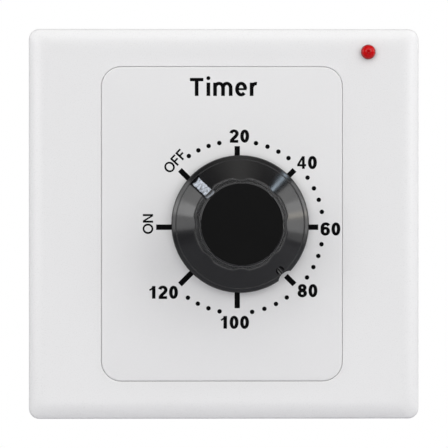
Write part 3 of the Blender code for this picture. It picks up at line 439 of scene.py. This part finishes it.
def make_materials():
    """Every material, by the name of its slot."""
    made = {}

    def add(make, name, *values, **settings):
        made[name] = make(name, *values, **settings)

    add(face_plastic, "cover_plastic", (0.80, 0.797, 0.794), 0.28, 0.0012)
    add(face_plastic, "panel_plastic", (0.775, 0.772, 0.77), 0.34, 0.0015)
    add(moulded, "base_plastic", (0.74, 0.73, 0.71), 0.5, 0.006, variation=0.02)
    add(moulded, "knob_black", (0.005, 0.005, 0.0055), 0.16, 0.00005, 5000, 0.05)
    add(moulded, "knob_top", (0.0055, 0.0055, 0.0055), 0.85, 0.006, 7000, 0.08, Specular_IOR_Level=0.08)
    add(pointer_paint, "pointer_white")
    add(lamp_glass, "lamp_red")
    add(ink, "scale_print")
    add(plated, "plated_steel", (0.62, 0.62, 0.61), 0.32)
    add(plated, "blued_spring", (0.16, 0.19, 0.27), 0.3)
    add(plated, "gear_brass", (0.76, 0.55, 0.22), 0.28)
    add(plated, "plate_brass", (0.70, 0.52, 0.24), 0.36, scratch=(300, 300, 6000))
    add(plated, "contact_bronze", (0.66, 0.40, 0.22), 0.33)
    add(plated, "contact_silver", (0.86, 0.86, 0.84), 0.25)
    add(moulded, "cam_nylon", (0.80, 0.78, 0.70), 0.42, 0.006, Subsurface_Weight=0.15)
    add(small_part, "block_phenolic", (0.045, 0.035, 0.03), 0.4, 0.01, 0.25)
    add(small_part, "board_green", (0.02, 0.15, 0.05), 0.35, 0.01, 0.12, 2500)
    add(small_part, "resistor_tan", (0.52, 0.38, 0.22), 0.35, 0.01, 0.08)
    add(small_part, "wire_red", (0.50, 0.02, 0.02))
    add(small_part, "wire_blue", (0.02, 0.07, 0.38))
    add(small_part, "wire_black", (0.018, 0.018, 0.018))
    return made


def pointer_paint(name):
    """White paint in the pointer's groove, thick and a little uneven."""
    nodes = Nodes(name, (0.50, 0.54, 0.60), 0.35)
    nodes.bump(nodes.noise(1400, detail=4), 0.05, 1.0)
    nodes.tint(nodes.spread(nodes.noise(1500, detail=5, rough=0.65), 0, 1, 0.36, 0.62), 0.3, 1.35)
    return nodes.material


def lamp_glass(name):
    """Red lens, darker in the middle, with painted shade darkening its rim where the dome turns away."""
    nodes = Nodes(name, (0.54, 0.0012, 0.0025), 0.12, Specular_IOR_Level=0.2)
    share = nodes.spread(nodes.from_axis(LAMP.u, LAMP.v), 0, 1, 0, LAMP_R + 0.03)
    # painted shade: the steps run from darker in the middle to lightest part way out, then darken the rim
    # where the dome turns away
    painted_lens_shade = nodes.steps(share, (0.0, 0.5), (0.2, 0.55), (0.4, 0.85), (0.62, 1.0), (0.82, 0.75), (1.0, 0.22))
    nodes.tint(painted_lens_shade, 0.25, 1.1)
    return nodes.material


def ink(name):
    """Matt black print."""
    nodes = Nodes(name, (0.0012, 0.0012, 0.0015), 0.6, Specular_IOR_Level=0.05)
    nodes.bump(nodes.noise(6000, detail=3), 0.004, 0.7)
    nodes.vary_roughness(nodes.noise(900), 0.05)
    return nodes.material


# ---------------------------------------------------------------- cover and panel

def cover_mesh():
    """Tray with rounded outer edge, gentle roll-off on the face, and a crisp window."""
    half = (COVER.right - COVER.left) / 2
    face = COVER.front
    rings = []

    def add_ring(half_u, half_v, radius, w, shift=0.0):
        rings.append([(u + shift, v, w) for u, v in rounded_ring(half_u, half_v, radius, 6)])

    def add_square(inset, w, radius=COVER_CORNER):
        add_ring(half - inset, half - inset, radius, w)

    add_square(0.15, COVER.back)
    add_square(0, COVER.back + 0.15)
    side_top = face - ROLL_DROP - EDGE_ROUND
    add_square(DRAFT, side_top)
    steepest = math.atan(ROLL_POWER * ROLL_DROP / ROLL_OFF)
    for step in range(1, 8):
        angle = (math.pi / 2 - steepest) * step / 7
        add_square(DRAFT + EDGE_ROUND * (1 - math.cos(angle)), side_top + EDGE_ROUND * math.sin(angle))
    start = DRAFT + EDGE_ROUND * (1 - math.sin(steepest))
    drop = face - side_top - EDGE_ROUND * math.cos(steepest)
    for step in range(1, 15):
        share = step / 14
        add_square(start + ROLL_OFF * share, face - drop * (1 - share) ** ROLL_POWER)
    window_u = PANEL_U / 2 + WINDOW_GAP
    window_v = PANEL_V / 2 + WINDOW_GAP
    outer_u, outer_v = window_u + WINDOW_EDGE, window_v + WINDOW_EDGE
    outer_corner = PANEL_CORNER + WINDOW_EDGE
    add_ring(outer_u + 2, outer_v + 2, outer_corner + 2, face, PANEL_AT)
    add_ring(outer_u, outer_v, outer_corner, face, PANEL_AT)
    for step in range(1, 4):
        angle = math.radians(30 * step)
        inset = WINDOW_EDGE * math.sin(angle)
        add_ring(outer_u - inset, outer_v - inset, PANEL_CORNER + 0.1,
                 face - WINDOW_EDGE * (1 - math.cos(angle)), PANEL_AT)
    add_ring(window_u, window_v, PANEL_CORNER, face - SKIN, PANEL_AT)
    add_square(SKIN, face - SKIN, COVER_CORNER - 1.2)
    add_square(SKIN, COVER.back, COVER_CORNER - 1.2)
    return loft(rings, closed=True)


def build_cover(materials):
    """Cover with the lamp's hole, a notch to lever it off, and four snap clips."""
    cover = mesh_piece("cover_shell", cover_mesh(), "wall_unit", "cover_plastic", "trim_frame")
    carve(cover,
          rod_shape((LAMP.u, LAMP.v, COVER.front - SKIN - 1), (LAMP.u, LAMP.v, COVER.front + 1), LAMP_HOLE),
          box_shape(LEVER_NOTCH, (COVER.bottom - 1, COVER.bottom + SKIN + 0.5),
                    (COVER.back - 1, COVER.back + 1.3)))
    for side_u in (-1, 1):
        for side_v in (-1, 1):
            carve(cover, clip_shape(side_u, side_v), operation="UNION")
    dress(cover, materials["cover_plastic"], 32)


def clip_shape(side_u, side_v):
    """Snap clip: a leg behind the face with a wedge-shaped nose."""
    low, high = CLIP_V
    top = COVER.front - SKIN + 0.5
    outline = [(low, top), (low, 0.65), (high - 0.1, 0.6), (high + 0.55, 1.2), (high, 1.5), (high, top)]
    sides = [[(side_u * CLIP_AT + across, side_v * v, w) for v, w in outline]
             for across in (-CLIP_WIDE / 2, CLIP_WIDE / 2)]
    shape = bmesh.new()
    prism(shape, *sides)
    return shape


def build_panel(materials):
    """Raised panel with a small round edge, two flanges behind the cover and a hole for the shaft."""
    half_u, half_v = PANEL_U / 2, PANEL_V / 2
    rings = []

    def add_ring(inset, w):
        outline = rounded_ring(half_u - inset, half_v - inset, PANEL_CORNER - inset, 4)
        rings.append([(u + PANEL_AT, v, w) for u, v in outline])

    add_ring(2, PANEL.back + 1.2)
    add_ring(2, PANEL.back)
    add_ring(0, PANEL.back)
    add_ring(0, PANEL.front - PANEL_EDGE)
    for step in range(1, 5):
        angle = math.pi / 2 * step / 4
        add_ring(PANEL_EDGE * (1 - math.cos(angle)), PANEL.front - PANEL_EDGE * (1 - math.sin(angle)))
    panel = mesh_piece("panel_shell", loft(rings), "wall_unit", "panel_plastic", "dial_panel")
    for outer, inner in ((PANEL.bottom, 1.5 - half_v), (PANEL.top, half_v - 1.5)):
        flange = box_shape((-FLANGE_HALF, FLANGE_HALF), sorted((inner, outer)), (PANEL.back, PANEL_STEP))
        carve(panel, flange, operation="UNION")
    carve(panel, rod_shape((KNOB.u, KNOB.v, PANEL.back - 1), (KNOB.u, KNOB.v, PANEL.front + 1), SHAFT_HOLE))
    dress(panel, materials["panel_plastic"], 32)


# ---------------------------------------------------------------- knob

def slope_level(radius):
    """Height of the skirt's straight slope at a radius."""
    (top_r, top_w), (foot_r, foot_w) = SLOPE
    return top_w + (radius - top_r) * (foot_w - top_w) / (foot_r - top_r)


def flute_cut(clockwise, depth):
    """How far a flute cuts into the grip: the chord of a round cutter, blended at its lips."""
    step = 360 / FLUTES
    off = (clockwise + step / 2) % step - step / 2
    across = GRIP_BASE_R * math.sin(math.radians(off))
    sunk = depth - (FLUTE_CUTTER - math.sqrt(max(FLUTE_CUTTER ** 2 - across ** 2, 0)))
    return (sunk + math.sqrt(sunk * sunk + 0.0025)) / 2 if abs(across) < FLUTE_CUTTER else 0.0


def knob_column(clockwise):
    """(radius, w) from the middle of the top, down the grip and the skirt, and back up under it."""
    top, back = KNOB.front, KNOB.back
    rim = (KNOB.right - KNOB.left) / 2
    shoulder = GRIP_TOP_R - flute_cut(clockwise, FLUTE_TOP)
    foot = GRIP_BASE_R - flute_cut(clockwise, FLUTE_FOOT)
    edge = shoulder - TOP_EDGE
    column = [(0.01, top), (3.5, top), (6.5, top), (8.0, top), (edge, top)]
    for degrees in (22.5, 45, 67.5, 90):
        angle = math.radians(degrees)
        column.append((edge + TOP_EDGE * math.sin(angle), top - TOP_EDGE * (1 - math.cos(angle))))
    high, low = top - TOP_EDGE, slope_level(foot) + 0.3
    column += [(shoulder + (foot - shoulder) * i / 10, high + (low - high) * i / 10) for i in range(1, 11)]
    start = foot + 0.28
    column += [(foot + 0.03, low - 0.16), (foot + 0.12, low - 0.32), (start, slope_level(start))]
    for i in range(1, 13):
        radius = start + (LIP_R - start) * i / 12
        column.append((radius, slope_level(radius)))
    column += [(radius, slope_level(radius) - LIP_STEP)
               for radius in (LIP_R + 0.05, LIP_R + 0.14, 14.78, 14.9)]
    end = slope_level(14.9) - LIP_STEP
    # the rim's round and its foot, then the hollow under the skirt
    column += [(15.0, end - 0.13), (15.06, end - 0.24), (rim, end - 0.4),
               (rim, back + 0.2), (rim - 0.06, back + 0.06), (rim - 0.2, back),
               (13.5, back), (13.35, back + 0.1), (12.6, back + 1.1), (10.2, 12.4), (9.0, 13.2), (7.6, 13.2)]
    # the sleeve round the bush, and its bore
    column += [(7.6, back + 1.25), (7.5, back + 1.2), (5.65, back + 1.2), (5.5, back + 1.3),
               (5.5, 22.9), (0.01, 22.9)]
    return column


def beside_knob(radius, clockwise, w):
    """A place round the knob's axis."""
    u, v = polar(radius, clockwise)
    return KNOB.u + u, KNOB.v + v, w


def build_knob(materials):
    """Knob with a matt top, the notch in its skirt, the set screw's hole and the pointer's groove."""
    columns = [knob_column(degrees) for degrees in range(360)]
    rings = [[beside_knob(radius, degrees, w) for degrees, (radius, w) in enumerate(level)]
             for level in zip(*columns)]
    knob = mesh_piece("knob_body", loft(rings), "knob_shaft", "knob_black", "knob")
    notch_at = (KNOB.right - KNOB.left) / 2 + NOTCH_OUT
    notch = [beside_knob(notch_at, NOTCH_ANGLE, w) for w in (KNOB.back - 1, SET_SCREW_LEVEL)]
    hole = [beside_knob(radius, NOTCH_ANGLE, SET_SCREW_LEVEL) for radius in SET_SCREW_RUN]
    carve(knob, rod_shape(*notch, NOTCH_R, 96), rod_shape(*hole, SET_SCREW_HOLE),
          slope_bar(GROOVE_HALF, *POINTER_RUN, GROOVE_DEPTH, 2.0))
    dress(knob, materials["knob_black"], 28)
    knob.data.materials.append(materials["knob_top"])
    centre = front(KNOB.u, KNOB.v, KNOB.front)
    for face in knob.data.polygons:
        if (face.center - centre).length < (GRIP_TOP_R - 0.35) * MM:
            face.material_index = 1
    build_pointer(materials)


def on_slope(run, rise, across):
    """A place on the pointer's run: so far along the slope, out of it, and across it."""
    top, foot = (Vector(point) for point in SLOPE)
    along = (foot - top).normalized()
    radius, w = top + along * run + Vector((-along.y, along.x)) * rise
    side_u, side_v = polar(across, POINTER_ANGLE + 90)
    u, v, w = beside_knob(radius, POINTER_ANGLE, w)
    return u + side_u, v + side_v, w


def slope_bar(half, start, end, depth, outside):
    """Bar along the slope, from a depth in it to outside it."""
    ends = ((start, outside), (start, -depth), (end, -depth), (end, outside))
    sides = [[on_slope(run, rise, side * half) for run, rise in ends] for side in (-1, 1)]
    shape = bmesh.new()
    prism(shape, *sides)
    return shape


def build_pointer(materials):
    """Paint laid in the groove by hand: crowned, uneven, and short of the groove's walls."""
    long_steps, side_steps = 60, 24
    start, end = POINTER_RUN[0] + 0.15, POINTER_RUN[1] - 0.3
    floor = -GROOVE_DEPTH + 0.02
    shape = bmesh.new()
    rows = []
    for i in range(long_steps + 1):
        share = i / long_steps
        row = []
        for j in range(side_steps + 1):
            side = 2 * j / side_steps - 1
            bite = 0.45 * (1 - side * side) * share ** 3
            run = start + (end - bite - start) * share
            wander = noise.noise(Vector((run * 1.3, side, 7.0)))
            across = side * PAINT_HALF * (1 + 0.18 * wander)
            edge = min(1 - abs(side), share, 1 - share) * 8
            crown = min(1, edge) ** 0.5
            lump = 0.05 * noise.noise(Vector((run * 2.6, across * 2.6, 1.0))) + 0.03 * wander
            row.append(shape.verts.new(on_slope(run, floor + crown * (GROOVE_DEPTH - 0.03 + lump), across)))
        rows.append(row)
    for near, far in zip(rows, rows[1:]):
        for j in range(side_steps):
            shape.faces.new((near[j], near[j + 1], far[j + 1], far[j]))
    shape.faces.new([row[0] for row in rows] + rows[-1][1:] + [row[-1] for row in rows[-2::-1]]
                    + rows[0][-2:0:-1])
    paint = mesh_piece("pointer_fill", shape, "knob_shaft", "pointer_white", "pointer_inlay")
    dress(paint, materials["pointer_white"], 60)


# ---------------------------------------------------------------- dial print

def bow(centre, radii, start, end, steps=14):
    """Points of an elliptical arc; angles run anticlockwise from the right."""
    return [(centre[0] + radii[0] * math.cos(math.radians(start + (end - start) * i / steps)),
             centre[1] + radii[1] * math.sin(math.radians(start + (end - start) * i / steps)))
            for i in range(steps + 1)]


def oval(centre, radii):
    """Points of a whole ellipse."""
    return bow(centre, radii, 0, 360, 36)[:-1]


# Generic lettering on a capital height of 1: (width, strokes). A stroke is a centre line, thin or not,
# a ring, or a filled outline.
GLYPHS = {
    "0": (0.66, [("ring", oval((0.33, 0.5), (0.215, 0.41)))]),
    "1": (0.56, [("line", [(0.36, 0.0), (0.36, 1.0)]),
                 ("thin", [(0.02, 0.67), (0.14, 0.73), (0.25, 0.82), (0.32, 0.95)])]),
    "2": (0.69, [("line", bow((0.345, 0.70), (0.235, 0.22), 172, -32)
                  + [(0.45, 0.46), (0.30, 0.32), (0.18, 0.20), (0.125, 0.09)]),
                 ("line", [(0.02, 0.085), (0.68, 0.085)])]),
    "4": (0.71, [("fill", [(0.39, 0.0), (0.60, 0.0), (0.60, 1.0), (0.39, 1.0)]),
                 ("fill", [(0.01, 0.20), (0.71, 0.20), (0.71, 0.37), (0.01, 0.37)]),
                 ("fill", [(0.01, 0.30), (0.20, 0.30), (0.20, 0.36), (0.395, 0.70), (0.50, 0.70), (0.50, 1.0),
                           (0.40, 1.0), (0.01, 0.37)])]),
    "6": (0.69, [("ring", oval((0.35, 0.33), (0.235, 0.245))),
                 ("line", bow((0.385, 0.62), (0.27, 0.295), 30, 180) + [(0.115, 0.34)])]),
    "8": (0.69, [("ring", oval((0.345, 0.285), (0.235, 0.205))),
                 ("ring", oval((0.345, 0.735), (0.2, 0.18)))]),
    "O": (0.97, [("ring", oval((0.485, 0.5), (0.41, 0.435)))]),
    "F": (0.62, [("line", [(0.08, 0.0), (0.08, 1.0)]), ("line", [(0.02, 0.93), (0.62, 0.93)]),
                 ("line", [(0.02, 0.51), (0.55, 0.51)])]),
    "N": (0.80, [("line", [(0.08, 0.0), (0.08, 1.0)]), ("line", [(0.72, 0.0), (0.72, 1.0)]),
                 ("fill", [(0.01, 1.0), (0.19, 1.0), (0.79, 0.0), (0.61, 0.0)])]),
    "T": (0.76, [("line", [(0.0, 0.92), (0.76, 0.92)]), ("line", [(0.38, 0.0), (0.38, 0.95)])]),
    "i": (0.22, [("line", [(0.11, 0.0), (0.11, 0.75)]), ("fill", oval((0.11, 1.0), (0.112, 0.112)))]),
    "m": (1.07, [("line", [(0.095, 0.0), (0.095, 0.75)]),
                 ("line", bow((0.32, 0.45), (0.225, 0.255), 165, 0) + [(0.545, 0.0)]),
                 ("line", bow((0.76, 0.45), (0.215, 0.255), 165, 0) + [(0.975, 0.0)])]),
    "e": (0.65, [("line", bow((0.325, 0.385), (0.235, 0.32), 2, 318, 24)),
                 ("thin", [(0.12, 0.385), (0.63, 0.385)])]),
    "r": (0.47, [("line", [(0.095, 0.0), (0.095, 0.75)]),
                 ("line", bow((0.36, 0.42), (0.265, 0.28), 172, 82))]),
}
BOLD = (0.275, 0.22)            # thickness of upright and level strokes
TITLE_BOLD = (0.21, 0.185)
MEDIUM = (0.195, 0.175)
THIN_SHARE = 0.62               # a thin stroke's share of a level one


def stroke_prism(kind, points, weight):
    """A stroke as a prism one unit high, wider where it runs upright than where it runs level."""
    shape = bmesh.new()
    if kind == "fill":
        prism(shape, [(*point, 0) for point in points], [(*point, 1) for point in points])
        return shape
    closed = kind == "ring"
    upright, level = weight
    if kind == "thin":
        upright = level = level * THIN_SHARE
    rows = []
    for i, point in enumerate(points):
        before = points[i - 1] if closed or i else points[0]
        after = points[(i + 1) % len(points)] if closed or i < len(points) - 1 else points[-1]
        along = Vector((after[0] - before[0], after[1] - before[1])).normalized()
        half = math.hypot(upright * along.y, level * along.x) / 2
        left = (point[0] - along.y * half, point[1] + along.x * half)
        right = (point[0] + along.y * half, point[1] - along.x * half)
        corners = ((left, 0), (right, 0), (right, 1), (left, 1))
        rows.append([shape.verts.new((*side, w)) for side, w in corners])
    pairs = list(zip(rows, rows[1:]))
    if closed:
        pairs.append((rows[-1], rows[0]))
    else:
        shape.faces.new(rows[0])
        shape.faces.new(rows[-1][::-1])
    for near, far in pairs:
        for i in range(4):
            j = (i + 1) % 4
            shape.faces.new((near[j], near[i], far[i], far[j]))
    return shape


def united(shapes):
    """Boolean union of prisms, as one bmesh."""
    strokes = []
    for shape in shapes:
        bmesh.ops.recalc_face_normals(shape, faces=shape.faces)
        mesh = bpy.data.meshes.new("stroke")
        shape.to_mesh(mesh)
        shape.free()
        strokes.append(bpy.data.objects.new("stroke", mesh))
        bpy.context.scene.collection.objects.link(strokes[-1])
    body = strokes[0]
    for other in strokes[1:]:
        combine(body, other, "UNION")
    result = bmesh.new()
    result.from_mesh(body.data)
    bpy.data.objects.remove(body)
    return result


def lettering(name, text, at, height, weight, turn, gap, materials):
    """Generic lettering as thin ink, centred at a place and turned clockwise; height is the capitals'."""
    width = sum(GLYPHS[letter][0] for letter in text) + gap * (len(text) - 1)
    whole = bmesh.new()
    pen = -width / 2
    for letter in text:
        glyph_width, strokes = GLYPHS[letter]
        glyph = united([stroke_prism(kind, points, weight) for kind, points in strokes])
        bmesh.ops.transform(glyph, matrix=Matrix.Translation((pen, -0.5, 0)), verts=glyph.verts)
        mesh = bpy.data.meshes.new("glyph")
        glyph.to_mesh(mesh)
        glyph.free()
        whole.from_mesh(mesh)
        bpy.data.meshes.remove(mesh)
        pen += glyph_width + gap
    placed = (Matrix.Translation((*at, PANEL.front)) @ Matrix.Rotation(math.radians(-turn), 4, "Z")
              @ Matrix.Diagonal((height, height, INK, 1)))
    bmesh.ops.transform(whole, matrix=placed, verts=whole.verts)
    piece = mesh_piece(name, whole, "wall_unit", "scale_print")
    piece.data.materials.append(materials["scale_print"])


def on_dial(radius, clockwise):
    """A place on the printed scale."""
    u, v = polar(radius, clockwise)
    return DIAL[0] + u, DIAL[1] + v


def build_print(materials):
    """Title, numbers, words, marks and dots."""
    lettering("print_title", "Timer", TITLE_AT, TITLE_HEIGHT, TITLE_BOLD, 0, WIDE_GAP, materials)
    for text, at in NUMBERS.items():
        lettering(f"print_{text}", text, at, NUMBER_HEIGHT, BOLD, 0, WIDE_GAP, materials)
    lettering("print_off", "OFF", OFF_AT, WORD_HEIGHT, MEDIUM, -47, NARROW_GAP, materials)
    lettering("print_on", "ON", ON_AT, WORD_HEIGHT, MEDIUM, -90, NARROW_GAP, materials)
    shape = bmesh.new()
    for position in range(8):
        tick_mark(shape, -45 + 45 * position)
    for mark, middle, step in DOTS:
        for dot in range(4):
            dot_mark(shape, mark + middle + (dot - 1.5) * step)
    marks = mesh_piece("print_scale_marks", shape, "wall_unit", "scale_print")
    marks.data.materials.append(materials["scale_print"])


def tick_mark(shape, clockwise):
    """Straight mark pointing at the dial's centre."""
    start = NOTCH_TICK if abs(clockwise - NOTCH_ANGLE) < 10 else TICK[0]
    corners = []
    for radius, side in ((start, -1), (start, 1), (TICK[1], 1), (TICK[1], -1)):
        at = on_dial(radius, clockwise)
        across = polar(side * TICK_WIDE / 2, clockwise + 90)
        corners.append((at[0] + across[0], at[1] + across[1]))
    slab(shape, corners)


def dot_mark(shape, clockwise):
    """Round dot on the dot ring."""
    at = on_dial(DOT_RING, clockwise)
    slab(shape, [(at[0] + u, at[1] + v) for u, v in (polar(DOT_R, -15 * i) for i in range(24))])


def slab(shape, outline):
    """Flat piece of ink on the panel."""
    prism(shape, [(u, v, PANEL.front) for u, v in outline], [(u, v, PANEL.front + INK) for u, v in outline])


# ---------------------------------------------------------------- lamp

def build_lamp(materials):
    """Domed lens with a flange behind the cover."""
    column = []
    for degrees in range(2, 91, 4):
        angle = math.radians(degrees)
        column.append((LAMP_R * math.sin(angle), LAMP.front - LAMP_R * (1 - math.cos(angle))))
    column += [(LAMP_R, 5.6), (1.95, 5.5), (2.0, 5.4), (2.0, 4.8), (1.95, LAMP.back), (0.02, LAMP.back)]
    turns = [2 * math.pi * i / 64 for i in range(64)]
    loops = [[(LAMP.u + radius * math.cos(turn), LAMP.v + radius * math.sin(turn), w) for turn in turns]
             for radius, w in column]
    lens = mesh_piece("lamp_dome", loft(loops), "wall_unit", "lamp_red", "lamp_lens")
    dress(lens, materials["lamp_red"], 40)


# ---------------------------------------------------------------- everything carried over from the CAD

def dress_nodes(materials):
    """Give every carried-over node the material of its slot."""
    slots = {part["node"]: part["material_slot"] for part in frame["record"]["subparts"]}
    for node, obj in frame["nodes"].items():
        dress(obj, materials[slots[node]], 30)


# ---------------------------------------------------------------- studio

def build_world():
    """Dim studio room: plain white to the camera, and to surfaces a room that is dark at the front."""
    world = bpy.data.worlds.new("studio")
    bpy.context.scene.world = world
    world.use_nodes = True
    tree = world.node_tree
    tree.nodes.clear()
    link = tree.links.new

    node = tree.nodes.new
    direction = node("ShaderNodeTexCoord").outputs["Generated"]
    split = node("ShaderNodeSeparateXYZ")
    link(direction, split.inputs[0])
    height = node("ShaderNodeMapRange")
    height.inputs["From Min"].default_value = -1
    link(split.outputs["Z"], height.inputs["Value"])
    rise = node("ShaderNodeValToRGB")
    fill_ramp(rise.color_ramp, [((sine + 1) / 2, colour) for sine, colour in ROOM])
    link(height.outputs["Result"], rise.inputs["Fac"])
    ahead = node("ShaderNodeMapRange")
    ahead.interpolation_type = "SMOOTHSTEP"
    ahead.inputs["From Min"].default_value = -math.cos(math.radians(FRONT_DARK[0]))
    ahead.inputs["From Max"].default_value = -math.cos(math.radians(FRONT_DARK[1]))
    ahead.inputs["To Min"].default_value = FRONT_SHARE
    ahead.inputs["To Max"].default_value = 1.0
    link(split.outputs["Y"], ahead.inputs["Value"])
    room = node("ShaderNodeBackground")
    link(rise.outputs["Color"], room.inputs["Color"])
    link(ahead.outputs["Result"], room.inputs["Strength"])
    white = node("ShaderNodeBackground")
    white.inputs["Color"].default_value = (1, 1, 1, 1)
    mix = node("ShaderNodeMixShader")
    link(node("ShaderNodeLightPath").outputs["Is Camera Ray"], mix.inputs["Fac"])
    link(room.outputs["Background"], mix.inputs[1])
    link(white.outputs["Background"], mix.inputs[2])
    link(mix.outputs["Shader"], node("ShaderNodeOutputWorld").inputs["Surface"])


def toward(azimuth, height):
    """Direction from the object to the right of the viewer and above level, both in degrees."""
    turn, lift = math.radians(azimuth), math.radians(height)
    return Vector((math.sin(turn) * math.cos(lift), -math.cos(turn) * math.cos(lift), math.sin(lift)))


def aim(obj, direction, target, distance):
    """Stand an object off a target and point it back there."""
    bpy.context.scene.collection.objects.link(obj)
    obj.location = target + direction * distance
    obj.rotation_euler = (-direction).to_track_quat("-Z", "Y").to_euler()


def softbox(name, azimuth, height, distance, size, radiance, colour=(1, 1, 1)):
    """Rectangular light of an even radiance, aimed at the object."""
    light = bpy.data.lights.new(name, "AREA")
    light.shape = "RECTANGLE"
    light.size, light.size_y = size
    light.energy = radiance * math.pi * size[0] * size[1]
    light.color = colour
    aim(bpy.data.objects.new(name, light), toward(azimuth, height), Vector(), distance)


def build_studio():
    """Room, lights and a pale floor."""
    build_world()
    for name, *settings in SOFTBOXES:
        softbox(name, *settings)
    floor_shape = bmesh.new()
    bmesh.ops.create_grid(floor_shape, x_segments=1, y_segments=1, size=FLOOR_HALF)
    mesh = bpy.data.meshes.new("floor")
    floor_shape.to_mesh(mesh)
    floor_shape.free()
    floor = bpy.data.objects.new("floor", mesh)
    floor.location = (0, 0, FLOOR)
    bpy.context.scene.collection.objects.link(floor)
    floor_paint = Nodes("floor_paint", (0.54, 0.54, 0.58), 0.8)
    floor_paint.tint(floor_paint.spread(floor_paint.noise(3), 0, 1), 0.99, 1.01)
    mesh.materials.append(floor_paint.material)
    bpy.context.scene.view_settings.view_transform = "Standard"


def build_camera():
    """Camera almost square on to the cover."""
    camera = bpy.data.cameras.new("camera")
    camera.sensor_width = 36
    camera.lens = camera.sensor_width * VIEW_DISTANCE / VIEW_WIDTH
    camera.clip_start = 0.01
    obj = bpy.data.objects.new("camera", camera)
    aim(obj, toward(VIEW_AZIMUTH, VIEW_HEIGHT), front(0, 0, COVER.front), VIEW_DISTANCE)
    bpy.context.scene.camera = obj


materials = make_materials()
build_camera()
build_studio()
dress_nodes(materials)
build_cover(materials)
build_panel(materials)
build_knob(materials)
build_print(materials)
build_lamp(materials)
